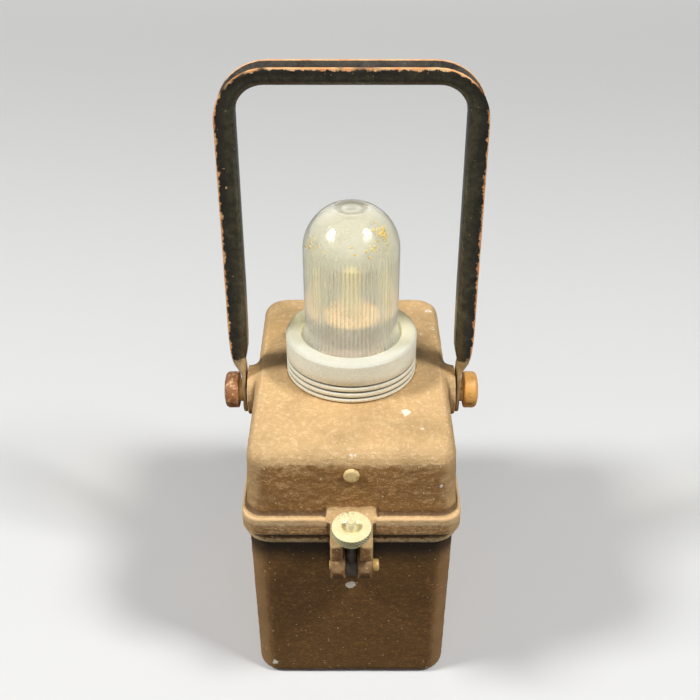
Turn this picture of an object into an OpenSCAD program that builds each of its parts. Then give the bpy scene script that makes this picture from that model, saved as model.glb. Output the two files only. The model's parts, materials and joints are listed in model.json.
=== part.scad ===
// Railway hand lamp: an oblong cast battery case with a hinged lid, a fluted glass dome held by a
// screwed ring, a swing bolt latch with a knurled thumb nut, and a pressed channel bail handle.
// Millimetres. Origin at the centre of the base, +Z up, the latch at the front, which is -Y.

/* [Case] */
// Width of the case just under its rim
case_w = 104.8; // [101:0.2:106]
// Depth of the case just under its rim
case_d = 151; // [147:0.5:153]
// Height of the rim that the lid closes on
rim_z = 109; // [104:0.5:116]
// How much each wall leans in from the rim to the base
case_draft = 0.9; // [0.4:0.1:1.4]
// Thickness of the cast walls of the case
case_wall = 3.6; // [3:0.1:4.2]
// Thickness of the floor
floor_t = 4.5; // [3.5:0.1:6]
// Radius of the upright corners of the case
case_corner_r = 12; // [10:0.5:13]
// Radius of the edge all round the base
base_r = 4.5; // [4:0.5:7]
// How far the rim stands out from the wall
rim_reach = 2; // [1.6:0.1:2.4]
// Height of the band that the rim makes
rim_band = 6; // [5:0.1:7]

/* [Lid] */
// Open joint between the rim of the case and the lid's flange
joint_gap = 0.5; // [0.3:0.1:0.8]
// Height of the lid's flange
flange_t = 11.4; // [10:0.1:13]
// Reach of the flange past the side walls of the case
flange_side = 2.6; // [2.4:0.1:3.2]
// Reach of the flange past the end walls of the case
flange_end = 4; // [3.4:0.1:4.6]
// Radius of the flange's corners in plan
flange_corner_r = 10; // [9:0.5:12]
// Height of the lid at its front edge, from the flange's lower face
lid_h = 48.4; // [46:0.2:50]
// How much higher the lid's top is at the back than at the front
lid_rise = 1.5; // [0:0.1:2.4]
// Thickness of the cast walls of the lid
lid_wall = 3.4; // [3:0.1:4]
// Width of the ledge on top of the flange, along the sides
ledge_side = 2.4; // [2:0.1:3]
// Width of the ledge on top of the flange, along the ends
ledge_end = 4.6; // [4:0.1:5.4]
// Width of the rubber seal between the lid and the case
seal_w = 3; // [2.4:0.1:3.4]
// Height of the rubber seal
seal_t = 2.6; // [2:0.1:3]
// Radius of the head of the rivet in the front wall
rivet_r = 3.9; // [3.4:0.1:4.4]
// Radius of the shank of the rivet
rivet_shank_r = 2; // [1.6:0.1:2.4]
// Drop of the rivet below the lid's front edge
rivet_drop = 13.1; // [12.4:0.1:14]

/* [Lid hinge] */
// Radius of the hinge knuckles
knuckle_r = 5.5; // [5:0.1:6]
// Distance from the flange to the middle of the hinge pin
hinge_reach = 6.6; // [6.4:0.1:8]
// Drop of the hinge pin below the rim
hinge_drop = 3.5; // [3:0.1:4]
// Radius of the hinge pin
hinge_pin_r = 2.5; // [2:0.1:3]
// Length of the lid's knuckle
lid_knuckle_l = 23; // [20:0.5:26]
// Length of each knuckle of the case
case_knuckle_l = 14; // [11:0.5:16]
// Side clearance between knuckles
knuckle_gap = 0.4; // [0.3:0.1:0.8]

/* [Latch] */
// Distance from the front wall of the case to the latch pin
latch_reach = 12; // [11:0.1:12.6]
// Drop of the latch pin below the rim
latch_drop = 11.1; // [10.6:0.1:12]
// Radius of the rounded ears that hold the latch pin
ear_r = 6.9; // [6.2:0.1:7.2]
// Width over both ears and over both prongs of the fork
latch_w = 21.2; // [20:0.1:23]
// Gap between the ears
ear_gap = 5.4; // [5.2:0.1:5.8]
// Width of the slot in the fork
fork_slot = 7.8; // [7:0.1:8.4]
// Height of the crowned seat of the fork above the latch pin
seat_r = 21.3; // [20.8:0.1:21.8]
// Lean of the closed bolt towards the front, in degrees
bolt_lean = 6.5; // [4:0.5:7]
// Radius of the latch pin
latch_pin_r = 2.25; // [2:0.05:2.5]
// Radius of the head of the latch pin
latch_head_r = 3.1; // [2.8:0.1:3.6]
// Height of the head of the latch pin
latch_head_h = 3.2; // [2.4:0.1:3.6]
// Radius of the threaded shank of the swing bolt
shank_r = 2.5; // [2.3:0.05:2.7]
// Distance from the latch pin to the end of the swing bolt
bolt_l = 33.2; // [32.8:0.1:34]
// Radius of the knurled thumb nut
nut_r = 9.8; // [9:0.1:10]
// Height of the knurled rim of the thumb nut
nut_rim_h = 4.2; // [3.6:0.1:4.6]
// Height of the plain hub under the knurled rim
nut_hub_h = 2.3; // [1.8:0.1:2.6]
// Thickness of the washer under the thumb nut
nut_washer_t = 1.3; // [1:0.1:1.5]

/* [Lens] */
// Outer radius of the threaded neck of the lid
neck_r = 31; // [30:0.2:31.4]
// Radius of the recess in the mouth of the neck
neck_bore_r = 21.2; // [20:0.2:22]
// Height of the neck above the front edge of the lid's top
neck_h = 14.4; // [13.6:0.2:15.2]
// Outer radius of the screwed ring
ring_r = 34.4; // [34:0.1:36]
// Height of the screwed ring
ring_h = 22.6; // [21.8:0.1:24]
// Clearance between the lower edge of the ring and the lid
ring_gap = 0.4; // [0.3:0.1:0.8]
// Clearance round the ring, in the flat recess that is cut for it in the sloping top
ring_side = 0.6; // [0.4:0.1:1]
// Radius of the opening of the ring
ring_open_r = 26.3; // [25.6:0.1:27]
// Outer radius of the glass dome
glass_r = 24.4; // [23.4:0.1:24.8]
// Thickness of the glass
glass_t = 2.6; // [2:0.1:3]
// Height of the glass from its foot to its flat top
glass_h = 77.6; // [74:0.2:82]
// Radius of the flat round boss on top of the glass
glass_cap_r = 9.5; // [8:0.1:11]
// Radius of the foot of the glass that the ring holds down
glass_foot_r = 29.4; // [28.4:0.1:30]
// Thickness of the foot of the glass
glass_foot_t = 4; // [3.4:0.1:4.4]
// Number of flutes round the glass
flutes = 96; // [64:8:96]
// Depth of a flute
flute_deep = 0.3; // [0.2:0.05:0.4]
// Thickness of the rubber seal under the glass
glass_seal_t = 1.6; // [1.2:0.1:2]
// Thickness of the fibre washer between the glass and the ring
ring_washer_t = 0.9; // [0.7:0.1:1.1]

/* [Handle] */
// Height of the handle's pivots above the rim of the case
pivot_rise = 33.8; // [32:0.2:35]
// Height of the handle above its pivots, to the free edges of the channel
handle_h = 178.9; // [170:0.2:195]
// Half the width of the handle over the free edges at the top
handle_half_w = 63.3; // [62.8:0.1:64.6]
// Half the width between the inner faces of the legs at the top
web_half_w = 53.6; // [53.2:0.1:54.2]
// Width of the channel, front to back
channel_w = 14; // [13:0.2:15]
// Thickness of the pressed sheet
sheet_t = 1.8; // [1.6:0.1:2]
// Height of the channel's flanges at the top
channel_top_h = 8.6; // [8:0.1:9.4]
// Outer radius of the bends at the top
bend_r = 25; // [24:0.5:28]
// Inner radius of the bends at the top
web_bend_r = 14; // [12:0.5:15]
// Radius of the round tabs at the pivots
tab_r = 8; // [7.4:0.2:9]
// Length of the tab below the pivot
tab_drop = 13; // [11:0.2:15]
// Radius of the shank of the pivot bolts
pivot_r = 4; // [3.5:0.1:4.5]
// Radius of the heads of the pivot bolts
pivot_head_r = 9.9; // [9:0.1:10.4]
// Height of the heads of the pivot bolts
pivot_head_h = 7.6; // [7:0.1:9]
// Radius of the round bosses on the sides of the lid
boss_r = 13.5; // [12.5:0.1:14]
// Thickness of the washers between the bosses and the handle
pivot_washer_t = 0.8; // [0.6:0.1:1.2]
// Radius of those washers
pivot_washer_r = 8; // [7:0.1:9]
// Height of the collars between the handle and the bolt heads
collar_h = 2.4; // [2:0.1:3.2]
// Radius of those collars
collar_r = 6.4; // [5.8:0.1:7.4]

/* [Inside] */
// Clearance between the battery and the walls of the case
battery_gap = 1.4; // [1.2:0.1:2]
// Height of the battery
battery_h = 92; // [84:0.5:93]
// Thickness of the felt pad under the battery
pad_t = 2; // [1.5:0.1:3]
// Thickness of the cover that seals the battery
cover_t = 3; // [2:0.1:3.4]
// Distance from the middle of the case to each battery terminal
terminal_y = 46; // [36:0.5:52]
// Radius of the battery terminals
terminal_r = 5; // [4:0.1:6]
// Height of the battery terminals above the cover
terminal_h = 5; // [4:0.1:6]
// Height of the wider collar round the foot of each terminal, and how far it stands out
terminal_foot_h = 3; // [2:0.1:3.5]
terminal_foot = 1; // [0.5:0.1:1.5]
// Width of the contact strips
strip_w = 9; // [7:0.5:10]
// Thickness of the contact strips
strip_t = 0.8; // [0.5:0.1:1]
// Thickness of the lamp plate that closes the neck
plate_t = 3; // [2.4:0.1:3.4]
// Radius of the centre contact
contact_r = 2; // [1.6:0.1:2.4]
// Radius of the screws of the lamp plate
screw_r = 1.2; // [1:0.1:1.4]
// Length of those screws below the lamp plate
screw_l = 5; // [4:0.1:6]
// Radius and height of their heads
screw_head_r = 2.2; // [1.9:0.1:2.4]
screw_head_h = 1.4; // [1:0.1:1.6]
// Height of the lamp holder above the lamp plate
holder_h = 20.5; // [18:0.5:24]
// Outer radius of the stem of the lamp holder
holder_r = 9; // [8:0.1:10]
// Radius of the pale disc on top of the lamp holder
disc_r = 15; // [13:0.2:18]
// Thickness of that disc
disc_t = 1.6; // [1.2:0.1:2]
// Radius of the glass of the bulb
bulb_r = 5.6; // [5.2:0.1:6.4]
// Length of the glass of the bulb
bulb_l = 27; // [22:0.5:30]
// Radius of the screwed cap of the bulb
bulb_cap_r = 4.8; // [4.6:0.1:5.1]
// Height of the screwed cap of the bulb
bulb_cap_h = 10; // [9:0.5:11]

/* [Hidden] */
$fn = 64;

// Clearance of a pin or thread that runs in its bore
run_fit = 0.05;
// Clearance of two pieces that are fitted by hand and stay put
loose_fit = 0.3;
// Overlap of two shapes that are joined into one piece
bite = 0.5;
// Points along each rounded corner of a loft's level
corner_steps = 7;
// Degrees between the levels of a rounded edge
edge_step = 22.5;

case_half_w = case_w/2;
case_half_d = case_d/2;
flange_z = rim_z + joint_gap;
flange_top = flange_z + flange_t;
flange_half_w = case_half_w + flange_side;
flange_half_d = case_half_d + flange_end;
lid_top = flange_z + lid_h;
lid_half_w = flange_half_w - ledge_side;
lid_half_d = flange_half_d - ledge_end;

hinge_y = flange_half_d + hinge_reach;
hinge_z = rim_z - hinge_drop;
case_knuckle_x = lid_knuckle_l/2 + knuckle_gap;
hinge_pin_end = case_knuckle_x + case_knuckle_l;

latch_y = -case_half_d - latch_reach;
latch_z = rim_z - latch_drop;
// The fork: its front face, the middle of the round end of its slot, and its lower face
fork_front = latch_y - 8;
fork_root = latch_y + 7;
slot_y = latch_y - 1.2;
fork_bottom = flange_z - 1.8;
nut_z = seat_r + nut_washer_t;
nut_h = nut_hub_h + nut_rim_h;

neck_top = lid_top + neck_h;
glass_z = neck_top + glass_seal_t;
ring_washer_z = glass_z + glass_foot_t;
ring_lip_z = ring_washer_z + ring_washer_t;
// The recess is level with the lid's top at the front of the ring
recess_z = lid_top + 0.2*lid_rise;
ring_z = recess_z + ring_gap;
ring_top = ring_z + ring_h;
glass_top = glass_z + glass_h;
glass_in_r = glass_r - glass_t;
dome_z = glass_top - sqrt(glass_r*glass_r - glass_cap_r*glass_cap_r);
// The middle of the hollow crown, a little lower than the outer one, as the glass thickens upwards
crown_z = dome_z - 2.2;

pivot_z = rim_z + pivot_rise;
boss_x = flange_half_w + 1;
tab_x = boss_x + pivot_washer_t;
collar_x = tab_x + sheet_t;
head_x = collar_x + collar_h;
inner_boss_x = lid_half_w - lid_wall - 4;
locknut_h = 4;
handle_top = pivot_z + handle_h;

battery_z = floor_t + pad_t;
battery_top = battery_z + battery_h;
cover_top = battery_top + cover_t;
terminal_top = cover_top + terminal_h;
plate_z = neck_top - 5;
plate_top = plate_z + plate_t;
plate_bore_r = neck_bore_r - 4;
disc_z = plate_top + holder_h;
bulb_z = disc_z + disc_t - bulb_cap_h;

// Where the outer face of the lid's front wall is behind the rivet, and how far the head stands off it
rivet_z = lid_top - rivet_drop;
wall_y = -flange_half_d + ledge_end + 1.05;
rivet_seat = 0.2;
// The middle of the front strip's upright part, and of a strip that lies on a battery terminal
strip_y = wall_y + lid_wall + 0.8;
touch_z = terminal_top + loose_fit + strip_t/2;
screw_y = plate_bore_r + 1.6;

// The outline of a rounded rectangle, in plan: half width x, from y0 to y1, corner radius r
function outline(x, y0, y1, r) = [for (q = [0:3], i = [0:corner_steps])
    let (a = 90*q + 90*i/corner_steps,
        cx = (q == 0 || q == 3 ? 1 : -1)*(x - r),
        cy = q < 2 ? y1 - r : y0 + r)
    [cx + r*cos(a), cy + r*sin(a)]];

// One level of a loft: the same outline at height z, tilted by rise from front to back
function level(z, x, y0, y1, r, rise = 0) = [for (p = outline(x, y0, y1, r))
    [p[0], p[1], z + rise*(p[1] - y0)/(y1 - y0)]];

// A closed solid through levels that all have as many points
module loft(levels) {
    n = len(levels[0]);
    top = len(levels) - 1;
    points = [for (one = levels) each one];
    sides = [for (k = [0:top - 1], i = [0:n - 1]) let (j = (i + 1) % n) each [
        [k*n + i, (k + 1)*n + i, (k + 1)*n + j],
        [k*n + i, (k + 1)*n + j, k*n + j]]];
    polyhedron(points, concat([[for (i = [0:n - 1]) i]], sides, [[for (i = [n - 1:-1:0]) top*n + i]]));
}

// A flat frame or plate with the plan of a level
module plan_plate(z, h, x, y0, y1, r) {
    translate([0, 0, z]) linear_extrude(h) polygon(outline(x, y0, y1, r));
}

// A cylinder along X from x0 to x1
module bar_x(x0, x1, r, y, z) {
    translate([x0, y, z]) rotate([0, 90, 0]) cylinder(h = x1 - x0, r = r);
}

// A profile of Y and Z, drawn out along X and centred on it
module side_profile(w, points) {
    translate([-w/2, 0, 0]) rotate([90, 0, 90]) linear_extrude(w) polygon(points);
}

// A profile of X and Z, drawn out along Y from y0 to y1
module front_profile(y0, y1) {
    translate([0, y1, 0]) rotate([90, 0, 0]) linear_extrude(y1 - y0) children();
}

// A round outline with ridges of radius r and grooves of the given depth between them
module star(ridges, r, deep) {
    polygon([for (i = [0:2*ridges - 1]) (r - (i % 2)*deep)*[cos(180*i/ridges), sin(180*i/ridges)]]);
}

// Whatever is drawn along the swing bolt, in the place and lean of the closed bolt
module at_latch() {
    translate([0, latch_y, latch_z]) rotate([bolt_lean, 0, 0]) children();
}

// The case: a cast box with a slight draft, a rounded base, a rim band, latch ears and knuckles
function case_half(z) = [
    case_half_w - case_draft*(1 - z/rim_z),
    case_half_d - case_draft*(1 - z/rim_z)];

function case_level(z, out) = let (h = case_half(z))
    level(z, h[0] + out, -h[1] - out, h[1] + out, case_corner_r + out);

module case_outside() {
    band_z = rim_z - rim_band;
    loft(concat(
        [for (a = [0:edge_step:90]) case_level(base_r*(1 - cos(a)), -base_r*(1 - sin(a)))],
        [for (a = [0:edge_step:90])
            case_level(band_z - rim_reach*(1 - sin(a)), rim_reach*(1 - cos(a)))],
        [case_level(rim_z - 0.8, rim_reach), case_level(rim_z, rim_reach - 0.6)]));
}

module case_inside() {
    floor_r = base_r - case_wall + 1;
    loft(concat(
        [for (a = [0:edge_step*2:90])
            case_level(floor_t + floor_r*(1 - cos(a)), -case_wall - floor_r*(1 - sin(a)))],
        [case_level(rim_z + bite, -case_wall)]));
}

// Both ears in plan, each with a rounded front
module pair_in_plan(gap, front, back, corner_r, z, h) {
    w = (latch_w - gap)/2;
    for (side = [-1, 1])
        translate([side*(gap + w)/2, 0, 0]) plan_plate(z, h, w/2, front, back, corner_r);
}

module latch_ears() {
    wall = -case_half_d + 1.5;
    intersection() {
        union() {
            bar_x(-latch_w/2, latch_w/2, ear_r, latch_y, latch_z);
            side_profile(latch_w, [
                [latch_y, latch_z + ear_r], [wall, latch_z + ear_r],
                [wall, latch_z - ear_r - 8], [latch_y - ear_r*sin(35), latch_z - ear_r*cos(35)]]);
        }
        pair_in_plan(ear_gap, latch_y - ear_r, wall + 4, 2.6, latch_z - 20, 40);
    }
}

module case_knuckles() {
    wall = case_half_d - 1.5;
    for (side = [-1, 1]) {
        x = side > 0 ? case_knuckle_x : -hinge_pin_end;
        bar_x(x, x + case_knuckle_l, knuckle_r, hinge_y, hinge_z);
        translate([x + case_knuckle_l/2, 0, 0]) side_profile(case_knuckle_l, [
            [wall, rim_z - rim_band/2], [hinge_y - knuckle_r, rim_z - 0.6],
            [hinge_y, hinge_z + knuckle_r/2], [hinge_y + knuckle_r*0.6, hinge_z - knuckle_r*0.8],
            [hinge_y - knuckle_r, hinge_z - knuckle_r - 3], [wall, hinge_z - knuckle_r - 10]]);
    }
}

module case() {
    color([0.42, 0.30, 0.17]) difference() {
        union() {
            case_outside();
            latch_ears();
            case_knuckles();
        }
        case_inside();
        bar_x(-latch_w, latch_w, latch_pin_r + run_fit, latch_y, latch_z);
        bar_x(-hinge_pin_end - 1, hinge_pin_end + 1, hinge_pin_r + run_fit, hinge_y, hinge_z);
    }
}

module lid_hinge_pin() {
    color([0.45, 0.42, 0.38])
        bar_x(-hinge_pin_end - 1.2, hinge_pin_end + 1.2, hinge_pin_r, hinge_y, hinge_z);
}

// The latch pin has a head on the right and a spread end on the left
module latch_pin() {
    color([0.80, 0.70, 0.45]) {
        bar_x(-latch_w/2 - 1, latch_w/2 + bite, latch_pin_r, latch_y, latch_z);
        bar_x(latch_w/2, latch_w/2 + latch_head_h, latch_head_r, latch_y, latch_z);
    }
}

// The battery and what it stands on
module battery_plan(z, h, inset) {
    half = case_half(0);
    x = half[0] - case_wall - battery_gap - inset;
    y = half[1] - case_wall - battery_gap - inset;
    plan_plate(z, h, x, -y, y, case_corner_r - case_wall);
}

module battery_pad() {
    color([0.45, 0.42, 0.36]) battery_plan(floor_t, pad_t, base_r - case_wall);
}

module battery() {
    color([0.20, 0.24, 0.28]) battery_plan(battery_z, battery_h, 0);
}

module battery_cover() {
    color([0.12, 0.11, 0.10]) battery_plan(battery_top, cover_t, 2);
}

module battery_terminals() {
    color([0.80, 0.66, 0.36]) for (y = [-terminal_y, terminal_y])
        translate([0, y, cover_top]) {
            cylinder(h = terminal_foot_h, r = terminal_r + terminal_foot);
            cylinder(h = terminal_h, r = terminal_r);
        }
}

// The lid: one loft from the flange to the rounded top, with its neck, bosses, fork and knuckle
function lid_level(z, side, front, back, r, rise = 0) =
    level(z, flange_half_w - side, -flange_half_d + front, flange_half_d - back, r, rise);

module lid_outside() {
    edge = 1.4;
    fillet = 2.6;
    lean = 1.2;
    top_r = 9.8;
    wall_side = ledge_side + 1;
    wall_front = ledge_end + lean;
    wall_back = ledge_end + lean/2;
    loft(concat(
        [lid_level(flange_z, 0.8, 0.8, 0.8, flange_corner_r)],
        [lid_level(flange_z + 0.8, 0, 0, 0, flange_corner_r)],
        [for (a = [0:30:90]) let (in = edge*(1 - cos(a)))
            lid_level(flange_top - edge + edge*sin(a), in, in, in, flange_corner_r)],
        [for (a = [0:30:90]) let (in = 1 - sin(90 - a)) lid_level(
            flange_top + fillet*in, ledge_side*(1 - 0.4*(1 - sin(a))), ledge_end*(1 - 0.4*(1 - sin(a))),
            ledge_end*(1 - 0.4*(1 - sin(a))), flange_corner_r)],
        [for (a = [0:15:90]) let (up = 1 - cos(90 - a), in = 1 - cos(a)) lid_level(
            lid_top - top_r*(1 - sin(a)), wall_side + 5*in, wall_front + 9*in, wall_back + 6*in,
            flange_corner_r + 1, lid_rise*(0.4 + 0.6*sin(a)))]));
}

module lid_inside() {
    in_side = ledge_side + lid_wall;
    in_end = ledge_end + lid_wall;
    loft([
        lid_level(flange_z - bite, in_side, in_end, in_end, flange_corner_r - 2),
        lid_level(flange_top, in_side, in_end, in_end, flange_corner_r - 2),
        lid_level(lid_top - lid_wall - 2.6, in_side + 1.4, in_end + 1.3, in_end + 1, flange_corner_r - 2),
        lid_level(lid_top - lid_wall - 1, in_side + 2.6, in_end + 3.2, in_end + 2.4, flange_corner_r - 2,
            lid_rise),
        lid_level(lid_top - lid_wall, in_side + 6, in_end + 8, in_end + 6, flange_corner_r - 2,
            lid_rise)]);
}

// The fork that the swing bolt pulls down: a crowned seat, so the bolt can swing with the nut on it
module lid_fork() {
    root = -lid_half_d + 1;
    prong_w = (latch_w - fork_slot)/2;
    difference() {
        union() {
            intersection() {
                bar_x(-latch_w/2, latch_w/2, seat_r, latch_y, latch_z);
                union() {
                    pair_in_plan(fork_slot, fork_front, fork_root, 1.8, fork_bottom, 20);
                    plan_plate(fork_bottom, 20, latch_w/2, slot_y, fork_root, 1.2);
                }
            }
            side_profile(latch_w, [
                [fork_root - 1.4, fork_bottom], [fork_root + 0.6, fork_bottom], [fork_root + 2.4, flange_z],
                [root, flange_z], [root, flange_top + 4], [root - 1.4, flange_top + 3.6],
                [-flange_half_d + 2.2, flange_top + 1], [-flange_half_d + 0.4, flange_top - 0.4],
                [fork_root - 1.4, latch_z + seat_r*sin(acos(5.6/seat_r))]]);
        }
        translate([0, slot_y, fork_bottom - 1]) cylinder(h = 30, r = fork_slot/2);
        translate([-fork_slot/2, fork_front - 1, fork_bottom - 1])
            cube([fork_slot, slot_y - fork_front + 1, 30]);
    }
}

module lid_knuckle() {
    bar_x(-lid_knuckle_l/2, lid_knuckle_l/2, knuckle_r, hinge_y, hinge_z);
    side_profile(lid_knuckle_l, [
        [flange_half_d - 2, flange_z], [flange_half_d + 0.4, flange_z],
        [hinge_y - knuckle_r*0.9, hinge_z + knuckle_r*0.4], [hinge_y, hinge_z],
        [hinge_y + knuckle_r*0.7, hinge_z + knuckle_r*0.7], [flange_half_d + 2, flange_top - 2],
        [flange_half_d - 2, flange_top - 2]]);
}

module lid_bosses() {
    for (side = [0, 180]) rotate([0, 0, side]) {
        bar_x(lid_half_w - lid_wall, boss_x, boss_r, 0, pivot_z);
        bar_x(inner_boss_x, lid_half_w - 2, pivot_r + 4.5, 0, pivot_z);
    }
}

module lid() {
    color([0.62, 0.46, 0.27]) difference() {
        union() {
            difference() {
                lid_outside();
                lid_inside();
                translate([0, 0, recess_z]) cylinder(h = neck_h, r = ring_r + ring_side);
            }
            translate([0, 0, lid_top - 1]) cylinder(h = neck_h + 1, r = neck_r);
            translate([0, 0, plate_z - 8]) cylinder(h = 8, r = plate_bore_r + 3);
            lid_bosses();
            lid_fork();
            lid_knuckle();
        }
        translate([0, 0, plate_z - 20]) cylinder(h = 40, r = plate_bore_r);
        translate([0, 0, plate_z]) cylinder(h = 20, r = neck_bore_r);
        bar_x(-2*boss_x, 2*boss_x, pivot_r + run_fit, 0, pivot_z);
        bar_x(-lid_knuckle_l, lid_knuckle_l, hinge_pin_r + run_fit, hinge_y, hinge_z);
        seal_groove();
        rivet_hole();
        for (a = [0:120:240]) rotate([0, 0, a])
            translate([0, screw_y, plate_z - screw_l - 1]) cylinder(h = screw_l + 4, r = screw_r + run_fit);
    }
}

// The seal, one closed rubber frame in a groove of the lid, resting on the middle of the case's rim
module seal_frame(z, h, spare) {
    past = (rim_reach - 0.6 - case_wall + seal_w)/2 + spare;
    x = case_half_w + past;
    y = case_half_d + past;
    in = seal_w + 2*spare;
    difference() {
        plan_plate(z, h, x, -y, y, flange_corner_r + 1.2);
        plan_plate(z - 1, h + 2, x - in, -y + in, y - in, flange_corner_r - 1.8);
    }
}

module seal_groove() {
    seal_frame(flange_z - 1, rim_z + seal_t - flange_z + 1, 0.05);
}

module lid_seal() {
    color([0.12, 0.12, 0.12]) seal_frame(rim_z, seal_t, 0);
}

// The rivet through the front wall of the lid, and the strip that it holds inside
module rivet_hole() {
    translate([0, wall_y + lid_wall + 3, rivet_z]) rotate([90, 0, 0])
        cylinder(h = lid_wall + 8, r = rivet_shank_r + run_fit);
}

module front_rivet() {
    color([0.72, 0.66, 0.48]) translate([0, wall_y, rivet_z]) rotate([90, 0, 0]) {
        translate([0, 0, rivet_seat]) cylinder(h = 1.2, r = rivet_r);
        translate([0, 0, rivet_seat + 1.2]) cylinder(h = 0.7, r1 = rivet_r, r2 = rivet_r - 0.7);
        translate([0, 0, -lid_wall - 3]) cylinder(h = lid_wall + 4, r = rivet_shank_r);
        translate([0, 0, -lid_wall - 2.6]) cylinder(h = 1.4, r = rivet_r - 0.9);
    }
}

// A bent metal strip of width w and thickness t that follows points of Y and Z
function side_of(a, b) = let (run = (b - a)/norm(b - a)) [-run[1], run[0]];

function beside(points, i, t) = let (
    last = len(points) - 1,
    before = side_of(points[max(i - 1, 0)], points[max(i, 1)]),
    after = side_of(points[min(i, last - 1)], points[min(i + 1, last)]),
    mid = (before + after)/norm(before + after))
    points[i] + mid*t/(mid*after);

module bent_strip(w, t, points) {
    last = len(points) - 1;
    side_profile(w, concat(
        [for (i = [0:last]) beside(points, i, t/2)],
        [for (i = [last:-1:0]) beside(points, i, -t/2)]));
}

module front_contact_strip() {
    color([0.78, 0.62, 0.30]) difference() {
        bent_strip(strip_w, strip_t, [
            [strip_y, rivet_z + 3.6], [strip_y, flange_top + 2], [-terminal_y - 9, touch_z + 7],
            [-terminal_y - 4, touch_z], [-terminal_y + 4, touch_z]]);
        rivet_hole();
    }
}

module rear_contact_strip() {
    drop_y = plate_bore_r - 3;
    color([0.78, 0.62, 0.30]) difference() {
        bent_strip(strip_w, strip_t, [
            [-4, plate_z - strip_t/2], [drop_y, plate_z - strip_t/2], [drop_y, lid_top - lid_wall - 8],
            [terminal_y - 9, touch_z + 9], [terminal_y - 4, touch_z], [terminal_y + 4, touch_z]]);
        translate([0, 0, plate_z - 5]) cylinder(h = 10, r = contact_r + run_fit);
    }
}

// The lamp plate and what stands on it under the glass
module lamp_plate() {
    color([0.55, 0.36, 0.20]) difference() {
        translate([0, 0, plate_z]) cylinder(h = plate_t, r = neck_bore_r - loose_fit);
        translate([0, 0, plate_z - 1]) cylinder(h = plate_t + 2, r = contact_r + run_fit);
        for (a = [0:120:240]) rotate([0, 0, a])
            translate([0, screw_y, plate_z - 1]) cylinder(h = plate_t + 2, r = screw_r + run_fit);
    }
}

module lamp_plate_screws() {
    color([0.75, 0.70, 0.55]) for (a = [0:120:240]) rotate([0, 0, a]) translate([0, screw_y, 0])
        difference() {
            union() {
                translate([0, 0, plate_z - screw_l]) cylinder(h = screw_l + plate_t, r = screw_r);
                translate([0, 0, plate_top])
                    cylinder(h = screw_head_h, r1 = screw_head_r, r2 = screw_head_r*0.8);
            }
            translate([-screw_head_r - 1, -screw_head_r/7, plate_top + screw_head_h*0.6])
                cube([2*screw_head_r + 2, screw_head_r*2/7, screw_head_h]);
        }
}

module centre_contact() {
    color([0.78, 0.62, 0.30]) {
        translate([0, 0, plate_z - strip_t - 1]) cylinder(h = 1, r = contact_r + 1.4);
        translate([0, 0, plate_z - strip_t - 1]) cylinder(h = bulb_z - plate_z + strip_t + 1, r = contact_r);
    }
}

module lamp_holder() {
    foot_h = 3;
    color([0.35, 0.25, 0.17]) difference() {
        translate([0, 0, plate_top]) union() {
            cylinder(h = foot_h, r = holder_r + 3);
            translate([0, 0, foot_h]) cylinder(h = 1.6, r1 = holder_r + 2, r2 = holder_r);
            cylinder(h = holder_h, r = holder_r);
        }
        translate([0, 0, bulb_z - loose_fit]) cylinder(h = bulb_cap_h + 2, r = bulb_cap_r + run_fit);
        translate([0, 0, plate_top - 1]) cylinder(h = holder_h, r = contact_r + run_fit);
    }
}

module lamp_disc() {
    color([0.93, 0.76, 0.58]) translate([0, 0, disc_z]) difference() {
        cylinder(h = disc_t, r = disc_r);
        translate([0, 0, -1]) cylinder(h = disc_t + 2, r = bulb_cap_r + loose_fit);
    }
}

module bulb_cap() {
    tip_h = 1.2;
    color([0.80, 0.70, 0.42]) translate([0, 0, bulb_z]) {
        cylinder(h = tip_h, r1 = contact_r, r2 = bulb_cap_r - 0.6);
        translate([0, 0, tip_h]) cylinder(h = bulb_cap_h - tip_h, r = bulb_cap_r);
    }
}

module bulb_glass() {
    neck = bulb_cap_r - 0.4;
    color([0.95, 0.92, 0.80]) translate([0, 0, bulb_z + bulb_cap_h]) rotate_extrude() polygon(concat(
        [[0, 0], [neck, 0], [neck, 2], [bulb_r - 0.3, 6], [bulb_r, 8]],
        [for (a = [0:7.5:90]) [bulb_r*cos(a), bulb_l - bulb_r + bulb_r*sin(a)]]));
}

// The glass: a fluted inner wall, a plain foot, and a flat boss with a shallow dish on top
module glass_seal() {
    color([0.15, 0.15, 0.14]) translate([0, 0, neck_top]) difference() {
        cylinder(h = glass_seal_t, r = glass_foot_r);
        translate([0, 0, -1]) cylinder(h = glass_seal_t + 2, r = neck_bore_r + 1);
    }
}

module glass_dome() {
    color([0.90, 0.90, 0.84, 0.5]) difference() {
        union() {
            translate([0, 0, glass_z]) cylinder(h = glass_foot_t, r = glass_foot_r);
            translate([0, 0, glass_z]) cylinder(h = dome_z - glass_z, r = glass_r);
            intersection() {
                translate([0, 0, dome_z]) sphere(r = glass_r);
                translate([0, 0, dome_z]) cylinder(h = glass_top - 1.2 - dome_z, r = glass_r);
            }
            translate([0, 0, glass_top - 4]) cylinder(h = 4, r = glass_cap_r);
        }
        translate([0, 0, glass_z - 1]) linear_extrude(crown_z - glass_z + 1)
            star(flutes, glass_in_r, flute_deep);
        translate([0, 0, crown_z]) sphere(r = glass_in_r - flute_deep);
        translate([0, 0, glass_top - 0.7]) cylinder(h = 2, r = glass_cap_r - 1.5);
    }
}

module ring_washer() {
    color([0.70, 0.62, 0.48]) translate([0, 0, ring_washer_z]) difference() {
        cylinder(h = ring_washer_t, r = glass_foot_r);
        translate([0, 0, -1]) cylinder(h = ring_washer_t + 2, r = ring_open_r + 0.2);
    }
}

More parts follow.
